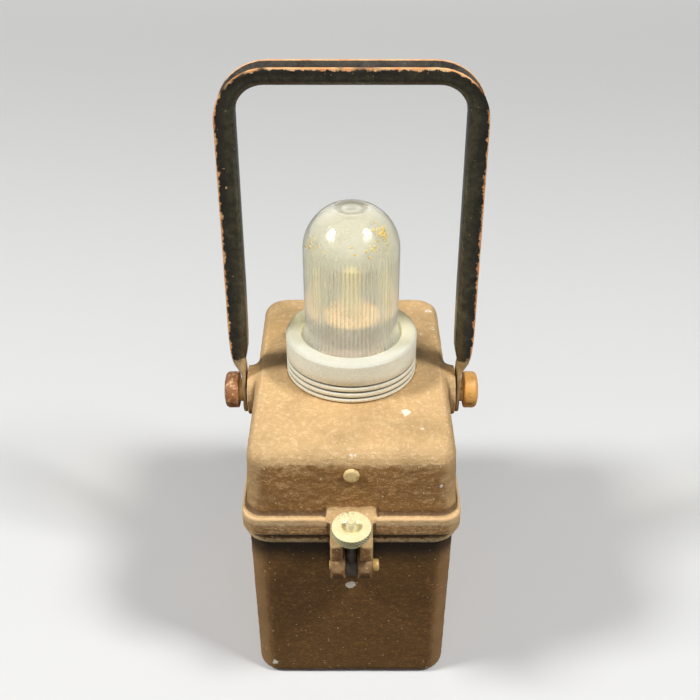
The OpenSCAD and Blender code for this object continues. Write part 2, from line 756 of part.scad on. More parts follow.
// The ring: a plain band above, three rounded grooves below, and a lip that holds the glass down
module glass_ring() {
    edge = 1.6;
    groove = 0.7;
    band_z = ring_top - 0.57*ring_h;
    rib = (band_z - ring_z)/2.8;
    color([0.80, 0.79, 0.74]) rotate_extrude() difference() {
        polygon([
            [neck_r + run_fit, ring_z], [ring_r - edge/2, ring_z], [ring_r, ring_z + edge/2],
            for (a = [0:15:90]) [ring_r - edge*(1 - cos(a)), ring_top - edge*(1 - sin(a))],
            [ring_open_r, ring_top], [ring_open_r, ring_lip_z], [neck_r + run_fit, ring_lip_z]]);
        for (i = [0:2]) translate([ring_r + groove/2, band_z - i*rib]) circle(r = groove*1.3, $fn = 24);
    }
}

// The pivot bolts, left and right, and the washers, collars and locknuts that go on both
module pivot_bolt() {
    end_x = inner_boss_x - locknut_h - 1.5;
    bar_x(end_x, head_x + 1, pivot_r, 0, pivot_z);
    translate([head_x, 0, pivot_z]) rotate([0, 90, 0]) rotate_extrude() polygon([
        [0, 0], [pivot_head_r - 0.4, 0], [pivot_head_r, 0.4], [pivot_head_r, pivot_head_h - 2.2],
        [pivot_head_r - 0.9, pivot_head_h - 0.8], [pivot_head_r - 3.4, pivot_head_h], [0, pivot_head_h]]);
}

module pivot_bolt_right() {
    color([0.80, 0.52, 0.20]) pivot_bolt();
}

module pivot_bolt_left() {
    color([0.55, 0.34, 0.20]) mirror([1, 0, 0]) pivot_bolt();
}

module on_both_sides() {
    children();
    mirror([1, 0, 0]) children();
}

// A flat ring round the pivot, from x0 to x1
module pivot_disc(x0, x1, r) {
    difference() {
        bar_x(x0, x1, r, 0, pivot_z);
        bar_x(x0 - 1, x1 + 1, pivot_r + run_fit, 0, pivot_z);
    }
}

module pivot_washers() {
    color([0.60, 0.58, 0.52]) on_both_sides() pivot_disc(boss_x, tab_x, pivot_washer_r);
}

module pivot_collars() {
    color([0.78, 0.66, 0.36]) on_both_sides() pivot_disc(collar_x, head_x, collar_r);
}

module pivot_locknuts() {
    color([0.60, 0.58, 0.54]) on_both_sides() difference() {
        translate([inner_boss_x - locknut_h, 0, pivot_z]) rotate([0, 90, 0])
            cylinder(h = locknut_h, r = pivot_r*1.75, $fn = 6);
        bar_x(0, inner_boss_x + 1, pivot_r + run_fit, 0, pivot_z);
    }
}

// The handle: a channel pressed from sheet and bent to a bail. Its open side faces outwards, and
// its flanges run out towards the pivots, where the web goes on as a flat tab.
function bend(x, z, r) = [for (a = [0:9:90]) [x - r + r*cos(a), z - r + r*sin(a)]];

// The right half of a path from the tab to the top, and the whole of it
function inner_path(d) = concat(
    [[tab_x + d, pivot_z + 14], [tab_x + d, pivot_z + 19], [web_half_w + 1 + d, pivot_z + 29],
     [web_half_w + 0.4 + d, pivot_z + 62]],
    bend(web_half_w + d, handle_top - channel_top_h + d, web_bend_r + d));

function free_path() = concat(
    [for (p = [[0, 13.5], [0.7, 15.7], [1.9, 18.2], [3.5, 21], [4.3, 24], [4.9, 28], [5.3, 35],
        [5.4, 45], [5.2, 65]]) [collar_x + p[0], pivot_z + p[1]]],
    bend(handle_half_w, handle_top, bend_r));

function whole(path) = concat(path, [for (i = [len(path) - 1:-1:0]) [-path[i][0], path[i][1]]]);

function between(outer, inner) = concat(whole(outer), [for (i = [2*len(inner) - 1:-1:0]) whole(inner)[i]]);

module handle_tab() {
    difference() {
        union() {
            bar_x(tab_x, collar_x, tab_r, 0, pivot_z);
            bar_x(tab_x, collar_x, tab_r, 0, pivot_z - tab_drop + tab_r);
            translate([tab_x, -tab_r, pivot_z - tab_drop + tab_r])
                cube([sheet_t, 2*tab_r, tab_drop - tab_r + 6]);
            translate([tab_x, 0, pivot_z]) rotate([90, 0, 90]) linear_extrude(sheet_t) polygon([
                [-tab_r, 6 - bite], [tab_r, 6 - bite], [channel_w/2, 14],
                [channel_w/2, 15], [-channel_w/2, 15], [-channel_w/2, 14]]);
        }
        bar_x(0, 2*collar_x, pivot_r + run_fit, 0, pivot_z);
    }
}

module handle() {
    half = channel_w/2;
    color([0.10, 0.10, 0.10]) {
        front_profile(-half, half) polygon(between(inner_path(sheet_t), inner_path(0)));
        for (y = [-half, half - sheet_t]) front_profile(y, y + sheet_t)
            polygon(between(free_path(), inner_path(sheet_t/2)));
        on_both_sides() handle_tab();
    }
}

// The swing bolt and the nut that clamps the fork
module swing_bolt() {
    eye_r = ear_r - 1.7;
    color([0.55, 0.52, 0.46]) at_latch() difference() {
        union() {
            bar_x(-ear_gap/2 + 0.2, ear_gap/2 - 0.2, eye_r, 0, 0);
            cylinder(h = bolt_l - 0.6, r = shank_r);
            translate([0, 0, bolt_l - 0.6]) cylinder(h = 0.6, r1 = shank_r, r2 = shank_r - 0.5);
        }
        bar_x(-ear_gap, ear_gap, latch_pin_r + run_fit, 0, 0);
        translate([0, 0, bolt_l - 0.8]) cylinder(h = 1, r1 = 0.2, r2 = 1);
    }
}

module thumb_nut_washer() {
    color([0.70, 0.66, 0.52]) at_latch() translate([0, 0, seat_r]) difference() {
        cylinder(h = nut_washer_t, r = nut_r - 2.4);
        translate([0, 0, -1]) cylinder(h = nut_washer_t + 2, r = shank_r + 0.2);
    }
}

module thumb_nut() {
    teeth = 48;
    tooth = 0.5;
    land = 0.5;
    color([0.80, 0.76, 0.58]) at_latch() translate([0, 0, nut_z]) difference() {
        union() {
            cylinder(h = nut_hub_h + bite, r = nut_r - 2.8);
            translate([0, 0, nut_hub_h]) cylinder(h = nut_rim_h, r = nut_r - tooth - land/2);
            translate([0, 0, nut_hub_h + land]) linear_extrude(nut_rim_h - 2*land)
                star(teeth, nut_r, tooth);
        }
        translate([0, 0, -1]) cylinder(h = nut_h + 2, r = shank_r + run_fit);
        translate([0, 0, nut_h - 1.4]) cylinder(h = 1.5, r1 = shank_r + 0.6, r2 = shank_r + 2.6);
    }
}

case();
lid_hinge_pin();
latch_pin();
battery_pad();
battery();
battery_cover();
battery_terminals();
lid();
lid_seal();
front_rivet();
front_contact_strip();
rear_contact_strip();
lamp_plate();
lamp_plate_screws();
lamp_holder();
lamp_disc();
centre_contact();
bulb_cap();
bulb_glass();
glass_seal();
glass_dome();
ring_washer();
glass_ring();
pivot_bolt_left();
pivot_bolt_right();
pivot_washers();
pivot_collars();
pivot_locknuts();
handle();
swing_bolt();
thumb_nut_washer();
thumb_nut();
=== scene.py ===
# %% [markdown]
# # A railway hand lamp, finished in Blender
# The lamp is an oblong cast case with a battery in it, a hinged lid with a fluted glass dome under a
# screwed ring, a swing bolt with a knurled nut that holds the lid shut, and a pressed steel handle that
# swings over the top. Its construction is already made and packed as a fixed frame. This script loads
# that frame, remakes each visible piece with the softness, threads and wear of the real one, gives every
# piece a finish, and sets up the floor, the light and the camera.

# %% Load the frame
import json
import math
import random
import bmesh
import bpy
import numpy as np
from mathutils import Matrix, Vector


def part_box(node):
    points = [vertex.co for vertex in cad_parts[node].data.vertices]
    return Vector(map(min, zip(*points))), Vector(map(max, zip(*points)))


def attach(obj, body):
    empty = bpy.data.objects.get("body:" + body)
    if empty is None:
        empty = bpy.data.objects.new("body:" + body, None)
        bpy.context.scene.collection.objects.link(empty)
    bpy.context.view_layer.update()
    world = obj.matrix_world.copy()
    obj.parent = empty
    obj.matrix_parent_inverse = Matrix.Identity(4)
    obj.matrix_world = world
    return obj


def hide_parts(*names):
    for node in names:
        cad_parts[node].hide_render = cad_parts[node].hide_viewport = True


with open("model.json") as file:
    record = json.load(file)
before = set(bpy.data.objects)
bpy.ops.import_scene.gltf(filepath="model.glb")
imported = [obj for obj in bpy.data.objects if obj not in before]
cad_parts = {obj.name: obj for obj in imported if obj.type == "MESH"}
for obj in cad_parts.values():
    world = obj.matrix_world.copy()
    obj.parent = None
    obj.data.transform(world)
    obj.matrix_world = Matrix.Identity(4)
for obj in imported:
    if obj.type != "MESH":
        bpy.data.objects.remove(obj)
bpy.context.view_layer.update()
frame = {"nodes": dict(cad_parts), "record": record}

nodes = frame["nodes"]
MM = 0.001


def span(name, axis):
    """Where one of the frame's pieces starts and ends along x, y or z, in millimetres"""
    return [corner["xyz".index(axis)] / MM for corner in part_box(name)]


# %% [markdown]
# ## Camera
# The photograph looks down on the lamp by about 33 degrees from just over half a metre away, so the case
# narrows towards its base and the handle is near the lens. The camera comes first, because everything
# else is judged through it. A 50 mm lens on a 36 mm film width gives the same view.

# %% Camera
LOOKING_DOWN = 33.14
bpy.ops.object.camera_add(location=(-0.0007, -0.4371, 0.4539),
                          rotation=(math.radians(90 - LOOKING_DOWN), 0, 0))
camera = bpy.context.object
camera.data.lens = 50.35
camera.data.sensor_width = 36
camera.data.clip_start = 0.01
bpy.context.scene.camera = camera
bpy.context.scene.view_settings.view_transform = "Standard"
print("camera at", [round(v, 3) for v in camera.location])

# %% [markdown]
# ## Light
# Two square softboxes stand left and right above the lamp. They are what the glass dome mirrors as two
# white squares, they light the top of the lid strongly and graze the front, so the front stays darker,
# and each throws the shadow of a handle leg on the lid. A wide weak fill in front keeps the walls
# readable, and a weaker one behind does the same for the back.

# %% Lights
def softbox(name, direction, power, distance=2.0, size=0.42):
    """A square lamp that looks at the lid from the given direction"""
    target = Vector((0, 0, 0.2))
    place = target + Vector(direction).normalized() * distance
    bpy.ops.object.light_add(type="AREA", location=place)
    lamp = bpy.context.object
    lamp.name = name
    lamp.data.shape = "SQUARE"
    lamp.data.size = size
    lamp.data.energy = power
    lamp.rotation_euler = (target - place).to_track_quat("-Z", "Y").to_euler()


softbox("softbox_left", (-0.67, -0.19, 0.72), 31)
softbox("softbox_right", (0.54, -0.27, 0.79), 31)
softbox("fill_front", (0, -1, 0.5), 5.5, size=1.8)
softbox("fill_back", (0, 1, 0.3), 4.5, size=1.8)

# %% [markdown]
# ## Helpers for materials
# A finish is a tree of small steps, such as noise, arithmetic and the mixing of colours. Placing each by
# hand would bury what the finish is, so a few short helpers place and link one step each.

# %% Steps of a material
def paint(r, g, b):
    """A colour as mixed on screen, 0 to 255, in the linear values that the shaders use"""
    return tuple(c / 12.92 if c <= 0.04045 else ((c + 0.055) / 1.055) ** 2.4
                 for c in (r / 255, g / 255, b / 255)) + (1.0,)


def put(tree, kind, inputs=None, **settings):
    """Add a node with its settings, and fill its inputs with numbers or with links"""
    n = tree.nodes.new(kind)
    for name, value in settings.items():
        setattr(n, name, value)
    for name, value in (inputs or {}).items():
        if isinstance(value, bpy.types.NodeSocket):
            tree.links.new(value, n.inputs[name])
        else:
            n.inputs[name].default_value = value
    return n


def calc(tree, operation, a, b=0.0, clamp=False):
    """One step of arithmetic on masks and heights"""
    return put(tree, "ShaderNodeMath", {0: a, 1: b}, operation=operation, use_clamp=clamp).outputs[0]


def times(tree, a, b):
    return calc(tree, "MULTIPLY", a, b)


def plus(tree, a, b):
    return calc(tree, "ADD", a, b)


def ramp(tree, value, low, high, out_low=0.0, out_high=1.0):
    """Stretch a value smoothly so that low to high becomes out_low to out_high"""
    return put(tree, "ShaderNodeMapRange", {"Value": value, "From Min": low, "From Max": high,
               "To Min": out_low, "To Max": out_high}, interpolation_type="SMOOTHSTEP").outputs[0]


def over(tree, below, above, mask, strength=1.0):
    """Lay a second colour over the first where the mask says, and at most that strongly"""
    if strength != 1.0:
        mask = times(tree, mask, strength)
    return put(tree, "ShaderNodeMix", {"Factor": mask, "A": below, "B": above},
               data_type="RGBA").outputs["Result"]


def place_of(tree):
    """The place on the piece, in metres, which a turning part takes with it"""
    return put(tree, "ShaderNodeTexCoord").outputs["Object"]


def noise(tree, scale, detail=3.0, rough=0.5, distortion=0.0, place=None):
    """Cloudy noise; scale is in waves per metre"""
    return put(tree, "ShaderNodeTexNoise", {"Vector": place or place_of(tree), "Scale": scale,
               "Detail": detail, "Roughness": rough, "Distortion": distortion}).outputs["Fac"]


print("steps of a material are ready")

# %% [markdown]
# ## Floor and surroundings
# The floor is pale. Only the camera and clear glass see it that pale: light that bounces up from it is
# kept low, or the shaded front would be washed out. Far off, where the lamps don't reach, the floor glows
# as pale as the wall behind, so no horizon shows.

# %% Floor and surroundings
def pale_to_the_eye(tree, pale, dim):
    """Pale for the camera and clear glass, dim for bounced light, and little more than dim for mirrors"""
    rays = put(tree, "ShaderNodeLightPath").outputs
    seen = calc(tree, "MAXIMUM", rays["Is Camera Ray"], times(tree, rays["Is Glossy Ray"], 0.15))
    seen = calc(tree, "MAXIMUM", seen, rays["Is Transmission Ray"])
    return over(tree, dim, pale, seen)


world = bpy.data.worlds.new("surroundings")
world.use_nodes = True
bpy.context.scene.world = world
tree = world.node_tree
tree.nodes["Background"].inputs["Strength"].default_value = 1.0
tree.links.new(pale_to_the_eye(tree, (0.80, 0.80, 0.79, 1), (0.07, 0.07, 0.075, 1)),
               tree.nodes["Background"].inputs["Color"])

bpy.ops.mesh.primitive_circle_add(vertices=96, radius=8, fill_type="NGON")
floor = bpy.context.object
floor.name = "floor"
floor_finish = bpy.data.materials.new("floor_paper")
floor_finish.use_nodes = True
tree = floor_finish.node_tree
shader = tree.nodes["Principled BSDF"].inputs
shader["Roughness"].default_value = 0.9
shader["Specular IOR Level"].default_value = 0.0
tree.links.new(pale_to_the_eye(tree, (0.72, 0.72, 0.71, 1), (0.13, 0.13, 0.13, 1)), shader["Base Color"])
shader["Emission Color"].default_value = (0.74, 0.74, 0.73, 1)
away = put(tree, "ShaderNodeVectorMath", {0: place_of(tree)}, operation="LENGTH").outputs["Value"]
seen = put(tree, "ShaderNodeLightPath").outputs["Is Camera Ray"]
tree.links.new(times(tree, seen, ramp(tree, away, 0.5, 4.0)), shader["Emission Strength"])
floor.data.materials.append(floor_finish)
print("floor and surroundings are set")

# %% [markdown]
# ## Shared effects
# Wear, mottling, specks, grain and hammered paint come back in several finishes, so each is a node group,
# built once. The groups only give masks, colours and heights. Each material keeps its own shader, and
# decides how strong an effect is.

# %% Mottled paint
def effect(name, inputs, result, kind="Float"):
    """An empty node group: its tree, where its inputs come in, and where its one result goes"""
    tree = bpy.data.node_groups.new(name, "ShaderNodeTree")
    for label, start in inputs.items():
        socket = "NodeSocketColor" if isinstance(start, tuple) else "NodeSocketFloat"
        tree.interface.new_socket(label, in_out="INPUT", socket_type=socket).default_value = start
    tree.interface.new_socket(result, in_out="OUTPUT", socket_type="NodeSocket" + kind)
    return tree, tree.nodes.new("NodeGroupInput").outputs, tree.nodes.new("NodeGroupOutput").inputs[0]


# Two colours of one paint, mottled at a large and a small scale
tree, given, result = effect("mottled", {"Dark": (0, 0, 0, 1), "Light": (1, 1, 1, 1), "Scale": 60.0,
                                         "Contrast": 0.5}, "Color", "Color")
large = noise(tree, given["Scale"], 4, 0.6)
small = noise(tree, times(tree, given["Scale"], 9.0), 4, 0.65)
both = plus(tree, times(tree, large, 0.6), times(tree, small, 0.4))
half = times(tree, given["Contrast"], -0.5)
mask = ramp(tree, both, plus(tree, half, 0.5), calc(tree, "SUBTRACT", 0.5, half))
tree.links.new(over(tree, given["Dark"], given["Light"], mask), result)
print("effect:", tree.name)

# %% Worn edges and specks
# Worn edges: the edge value of the mesh, broken up by noise
tree, given, result = effect("worn", {"Edge": 0.0, "Amount": 0.5, "Scale": 300.0}, "Mask")
rag = times(tree, calc(tree, "SUBTRACT", noise(tree, given["Scale"], 6, 0.7), 0.5), 1.6)
level = plus(tree, plus(tree, given["Edge"], rag), given["Amount"])
tree.links.new(ramp(tree, level, 0.95, 1.1), result)

# Specks: small round spots in a share of the cells
tree, given, result = effect("specks", {"Scale": 400.0, "Share": 0.2, "Size": 0.3}, "Mask")
cells = put(tree, "ShaderNodeTexVoronoi", {"Vector": place_of(tree), "Scale": given["Scale"]}).outputs
ragged = plus(tree, cells["Distance"], times(tree, noise(tree, 2500, 2), 0.3))
spot = calc(tree, "LESS_THAN", ragged, plus(tree, given["Size"], 0.1))
pick = put(tree, "ShaderNodeSeparateColor", {"Color": cells["Color"]}).outputs["Red"]
tree.links.new(times(tree, spot, calc(tree, "LESS_THAN", pick, given["Share"])), result)
print("effects: worn and specks")

# %% Grain and hammered coat
# Grain: the height of a rough coat, in parts of 1
tree, given, result = effect("grain", {"Scale": 900.0, "Lumps": 0.5}, "Height")
fine = noise(tree, given["Scale"], 5, 0.7)
lumps = noise(tree, times(tree, given["Scale"], 0.3), 3, 0.5, 0.6)
fine = times(tree, fine, calc(tree, "SUBTRACT", 1.0, given["Lumps"]))
tree.links.new(plus(tree, times(tree, lumps, given["Lumps"]), fine), result)

# Hammered coat: the height of thick sagging paint, in lumps that are wider than tall, with creases between
tree, given, result = effect("hammered", {"Scale": 500.0, "Creases": 1.0}, "Height")
sagging = put(tree, "ShaderNodeMapping", {"Vector": place_of(tree), "Scale": (0.75, 0.75, 1.3)}).outputs[0]
lumps = noise(tree, given["Scale"], 4, 0.62, 0.6, place=sagging)
fold = noise(tree, times(tree, given["Scale"], 0.55), 5, 0.65, place=sagging)
fold = calc(tree, "ABSOLUTE", calc(tree, "SUBTRACT", fold, 0.5))
fine = noise(tree, times(tree, given["Scale"], 3.4), 2, 0.6)
coat = plus(tree, times(tree, lumps, 0.5), times(tree, fine, 0.4))
tree.links.new(plus(tree, coat, times(tree, fold, given["Creases"])), result)
print("effects:", [g.name for g in bpy.data.node_groups])


# %% Helpers for finishes
def finish(name, roughness=0.5, metallic=0.0, **plain):
    """A new material: its tree and its shader, with the numbers that are the same all over"""
    finishes[name] = bpy.data.materials.new(name)
    finishes[name].use_nodes = True
    tree = finishes[name].node_tree
    shader = tree.nodes["Principled BSDF"].inputs
    shader["Roughness"].default_value = roughness
    shader["Metallic"].default_value = metallic
    for label, value in plain.items():
        shader[label.replace("_", " ")].default_value = value
    return tree, shader


def use(tree, name, **inputs):
    """Place a shared effect"""
    return put(tree, "ShaderNodeGroup", inputs, node_tree=bpy.data.node_groups[name]).outputs[0]


def two_tones(tree, dark, light, scale, contrast=0.7):
    """Mottled paint from two colours as mixed on screen"""
    return use(tree, "mottled", Dark=paint(*dark), Light=paint(*light), Scale=scale, Contrast=contrast)


def mark(tree, name):
    """A mark that the mesh carries at each of its points"""
    return put(tree, "ShaderNodeAttribute", attribute_name=name).outputs["Fac"]


def facing(tree, axis):
    """How far the surface faces along an axis of the piece, from -1 to 1"""
    normal = put(tree, "ShaderNodeTexCoord").outputs["Normal"]
    return put(tree, "ShaderNodeSeparateXYZ", {0: normal}).outputs[axis]


def rough_surface(tree, shader, height, depth_mm, strength=0.8):
    """Bump from a height of 0 to 1 that stands for so many millimetres"""
    bump = put(tree, "ShaderNodeBump", {"Height": height, "Strength": strength, "Distance": depth_mm * MM})
    tree.links.new(bump.outputs["Normal"], shader["Normal"])


finishes = {}
print("helpers for finishes are ready")

# %% [markdown]
# ## Cast paint
# The case and the lid are castings under a rough hammered paint. On top it is pale tan and on the walls dark
# brown: partly worn paint, partly painted light from above and painted shade on the walls, and the corners that
# turn sideways get a painted highlight. The sharp edges are rubbed pale, small bright specks all over are
# painted glints of light on the hammered bumps, the hollows get painted shade, and a few larger chips show the
# bare metal. Noise alone would put the wear anywhere, so it follows marks that the mesh carries: edge, from its
# curvature, a mark by height for dirt in the joint, painted shade under the case's rim, and rubbing and a
# painted highlight on the case's rim and the lid's ledge, and chip, dabbed on at listed spots.

# %% Cast paint
def cast_paint(name, wall_tones_shaded, top_tones_lit, creases, depth_mm):
    """Dark hammered paint on the walls, pale on top, partly worn and partly painted light and painted shade; a
    pair of tones is what lies low and what is high
    """
    tree, shader = finish(name, 0.5, Specular_IOR_Level=0.35)
    coat = use(tree, "hammered", Scale=520.0, Creases=creases)
    edge, joint = mark(tree, "edge"), mark(tree, "joint")
    low = 0.42 + 0.05 * creases
    # Walls that turn sideways get the top's pale tone: a painted highlight of the side light on the corners
    side_highlight = ramp(tree, calc(tree, "ABSOLUTE", facing(tree, "X")), 0.15, 0.6)
    wall = over(tree, paint(*wall_tones_shaded[0]), paint(*wall_tones_shaded[1]), ramp(tree, coat, low, low + 0.2))
    wall = over(tree, wall, paint(*top_tones_lit[0]), side_highlight, 0.75)
    top = over(tree, paint(*top_tones_lit[0]), paint(*top_tones_lit[1]), ramp(tree, coat, low, low + 0.18))
    # Facing up takes the top tones, partly worn paint and partly painted light from above; hollows take the
    # wall tones, as painted shade
    cloudy = plus(tree, facing(tree, "Z"), times(tree, noise(tree, 200, 4, 0.6), 0.2))
    cloudy = plus(tree, cloudy, calc(tree, "MINIMUM", edge, 0.0))
    colour = over(tree, wall, top, ramp(tree, cloudy, 0.12, 0.31))
    stood_high = times(tree, calc(tree, "SUBTRACT", 0.55, coat), 0.9)
    # Paler where the height mark is below 0: rubbed paint, and a painted highlight on the case's rim and the
    # lid's ledge
    rubbed_and_highlit = times(tree, ramp(tree, plus(tree, joint, stood_high), -0.05, -0.7), ramp(tree, joint, 0, -0.1))
    # Darker where the height mark is above 0: dirt in the joint, and painted shade under the case's rim
    dirt_and_shade = calc(tree, "MULTIPLY", joint, plus(tree, times(tree, coat, 0.6), 0.6), True)
    layers = [((84, 54, 22), ramp(tree, noise(tree, 30, 5, 0.62), 0.40, 0.66), 0.24),
              ((232, 200, 152), rubbed_and_highlit, 1.0),
              # Bright specks: painted glints of light on the hammered bumps
              ((248, 214, 164), use(tree, "specks", Scale=400.0, Share=0.2, Size=0.19), 0.9),
              ((240, 200, 146), use(tree, "worn", Edge=edge, Amount=0.42, Scale=520.0), 0.75),
              # Dark in hollows: painted shade
              ((66, 42, 18), ramp(tree, edge, -0.06, -0.7), 0.75),
              ((14, 8, 3), dirt_and_shade, 1.0),
              ((250, 240, 218), use(tree, "worn", Edge=mark(tree, "chip"), Amount=0.45, Scale=600.0), 1.0)]
    for tone, mask, strength in layers:
        colour = over(tree, colour, paint(*tone), mask, strength)
    tree.links.new(colour, shader["Base Color"])
    tree.links.new(ramp(tree, coat, 0.4, 0.75, 0.62, 0.40), shader["Roughness"])
    rough_surface(tree, shader, coat, depth_mm, 0.9)


cast_paint("case_paint", ((118, 84, 42), (166, 122, 68)), ((176, 136, 90), (206, 168, 120)), 0.25, 0.5)
cast_paint("lid_paint", ((156, 114, 64), (218, 168, 108)), ((212, 174, 121), (234, 201, 151)), 0.6, 0.85)
print("cast paints are mixed")

# %% [markdown]
# ## Handle enamel
# The handle is black gloss enamel over orange primer. The free edges of its channel are chipped to orange,
# cream and yellow, grey dust lies inside the channel, broad lighter patches are a painted sheen, the bends
# carry dust and a painted sheen, and towards the pivots the enamel is rubbed off.

# %% Handle enamel
tree, shader = finish("handle_paint", Specular_IOR_Level=0.5)
inside = times(tree, mark(tree, "inside"), 0.85)
# Broad lighter patches: painted sheen of the gloss
sheen_patches = ramp(tree, noise(tree, 90, 6, 0.7), 0.52, 0.72)
# Dust and a painted sheen on the bends by the web
dust_and_sheen = ramp(tree, noise(tree, 260, 5, 0.7), 0.3, 0.7, 0.1, 0.75)
dust_and_sheen = times(tree, calc(tree, "POWER", mark(tree, "bend"), 2.0), dust_and_sheen)
chips = use(tree, "worn", Edge=mark(tree, "rim"), Amount=0.46, Scale=330.0)
chips = times(tree, chips, ramp(tree, noise(tree, 40, 3, 0.6), 0.34, 0.46))
specks = calc(tree, "MAXIMUM", use(tree, "specks", Scale=150.0, Share=0.28, Size=0.11),
              use(tree, "specks", Scale=420.0, Share=0.24, Size=0.12))
chips = calc(tree, "MAXIMUM", chips, times(tree, specks, 0.9))
rubbed = use(tree, "worn", Edge=mark(tree, "bare"), Amount=0.30, Scale=260.0)

colour = two_tones(tree, (5, 5, 4), (58, 54, 42), 110.0, 0.6)
colour = over(tree, colour, paint(112, 104, 80), sheen_patches, 0.5)
colour = over(tree, colour, two_tones(tree, (24, 22, 20), (128, 120, 108), 120.0, 0.6), inside)
colour = over(tree, colour, paint(86, 80, 56), dust_and_sheen)
colour = over(tree, colour, two_tones(tree, (230, 120, 30), (255, 220, 160), 130.0, 0.55), chips)
colour = over(tree, colour, two_tones(tree, (150, 120, 80), (218, 192, 148), 180.0, 0.6), rubbed, 0.9)
tree.links.new(colour, shader["Base Color"])
dull = calc(tree, "MAXIMUM", times(tree, chips, 0.35), times(tree, rubbed, 0.35))
dull = calc(tree, "MAXIMUM", dull, times(tree, inside, 0.4))
tree.links.new(plus(tree, dull, 0.2), shader["Roughness"])
height = calc(tree, "SUBTRACT", use(tree, "grain", Scale=900.0, Lumps=0.8), times(tree, chips, 0.5))
rough_surface(tree, shader, height, 0.3, 0.7)
print("handle enamel is mixed")

# %% [markdown]
# ## Small metals
# Every small fitting shares one recipe: a metal in two mottled tones, a second colour for rust, paint or dirt
# in patches, a darker colour in its grooves, and a fine grain. Only the values differ. The swing bolt's shank
# is painted dark, as painted shade in the gap of the fork, and it is pale at its end, which the nut leaves
# bare.

# %% Small metals
def small_metal(name, dark, light, patch, share, roughness, metallic, grain_mm=0.05, scale=150.0):
    tree, shader = finish(name, roughness, metallic)
    patches = ramp(tree, noise(tree, scale * 1.7, 6, 0.7), 0.62 - share, 0.74 - share)
    colour = over(tree, two_tones(tree, dark, light, scale), paint(*patch), patches)
    # Darker where the mesh marks grooves
    colour = over(tree, colour, paint(70, 58, 34), mark(tree, "groove"), 0.75)
    tree.links.new(colour, shader["Base Color"])
    if metallic:
        bare = calc(tree, "SUBTRACT", 1.0, patches)
        tree.links.new(times(tree, bare, metallic), shader["Metallic"])
    tree.links.new(calc(tree, "ADD", times(tree, patches, 0.25), roughness, True), shader["Roughness"])
    rough_surface(tree, shader, use(tree, "grain", Scale=1500.0, Lumps=0.5), grain_mm)


for name, *recipe in [
        ("zinc", (222, 208, 150), (252, 244, 200), (176, 150, 96), 0.06, 0.42, 0.1),
        ("brass", (206, 162, 84), (246, 212, 140), (140, 104, 54), 0.06, 0.4, 0.3),
        ("dark_steel", (60, 50, 38), (110, 96, 76), (60, 36, 20), 0.1, 0.5, 0.6),
        ("rusty_steel", (118, 72, 40), (190, 130, 82), (226, 186, 138), 0.12, 0.6, 0.0, 0.3, 260.0),
        ("ochre_steel", (224, 150, 62), (255, 206, 124), (150, 92, 44), 0.08, 0.45, 0.0, 0.15, 200.0),
        ("rivet_brass", (214, 180, 116), (252, 226, 164), (150, 118, 68), 0.08, 0.5, 0.0)]:
    small_metal(name, *recipe)

tree, shader = finish("bolt_steel", 0.45)
# The shank is painted dark: painted shade where it stands in the fork's gap
shank_in_shade = two_tones(tree, (50, 42, 32), (104, 92, 74), 200.0)
end = two_tones(tree, (206, 190, 134), (250, 240, 196), 300.0)
tree.links.new(over(tree, shank_in_shade, end, mark(tree, "pale")), shader["Base Color"])
rough_surface(tree, shader, use(tree, "grain", Scale=1500.0, Lumps=0.5), 0.05)
print("small metals are mixed")

# %% [markdown]
# ## Pale ring
# The screwed ring is pale grey-white with a sandy, matt face. Its outer band is painted lighter than its top,
# as painted light, and its grooves are darker with painted shade.

# %% Pale ring
tree, shader = finish("ring_metal", 0.6, Specular_IOR_Level=0.35)
# The side gets paler tones than the top: painted light on the band
top = two_tones(tree, (204, 202, 184), (218, 216, 203), 110.0, 0.8)
side = two_tones(tree, (242, 238, 210), (255, 253, 236), 110.0, 0.8)
colour = over(tree, side, top, ramp(tree, facing(tree, "Z"), 0.3, 0.9))
colour = over(tree, colour, paint(184, 176, 146), ramp(tree, noise(tree, 1900, 2, 0.5), 0.54, 0.66), 0.45)
# Painted shade in the grooves
colour = over(tree, colour, paint(86, 80, 66), ramp(tree, mark(tree, "edge"), -0.05, -0.7), 0.85)
tree.links.new(colour, shader["Base Color"])
rough_surface(tree, shader, use(tree, "grain", Scale=1500.0, Lumps=0.3), 0.2, 0.9)
print("ring finish is mixed")

# %% [markdown]
# ## Glass
# The dome is thick pressed glass, dulled by age: clear enough to show the bulb, but with a whitish haze.
# Transmission below 1 leaves a share of the light on the surface, and that share is the haze. A thin
# smooth coat on top mirrors the softboxes sharply. Light passes through it instead of casting a shadow.

# %% Glass
def old_glass(name, tint, pale, clear, roughness, ripple_mm):
    """Hazy glass; the mark edge paints highlights on it above 0 and painted shade below"""
    tree, shader = finish(name, roughness, IOR=1.48, Transmission_Weight=clear, Coat_Weight=0.8,
                          Coat_Roughness=0.02, Specular_IOR_Level=0.25)
    tint_with_painted_light = two_tones(tree, tint, pale, 60.0, 0.9)
    # Above 0 the mark paints highlights, below 0 painted shade
    tint_with_painted_light = over(tree, tint_with_painted_light, paint(255, 255, 248), ramp(tree, mark(tree, "edge"), 0, 1))
    tint_with_painted_light = over(tree, tint_with_painted_light, paint(120, 116, 92), ramp(tree, mark(tree, "edge"), 0, -1, 0, 0.8))
    tree.links.new(tint_with_painted_light, shader["Base Color"])
    rough_surface(tree, shader, noise(tree, 110, 1, 0.3), ripple_mm, 0.5)
    shadow = put(tree, "ShaderNodeLightPath").outputs["Is Shadow Ray"]
    through = put(tree, "ShaderNodeBsdfTransparent", {"Color": paint(240, 238, 226)}).outputs[0]
    glass = tree.nodes["Principled BSDF"].outputs[0]
    either = put(tree, "ShaderNodeMixShader", {0: shadow, 1: glass, 2: through}).outputs[0]
    tree.links.new(either, tree.nodes["Material Output"].inputs["Surface"])


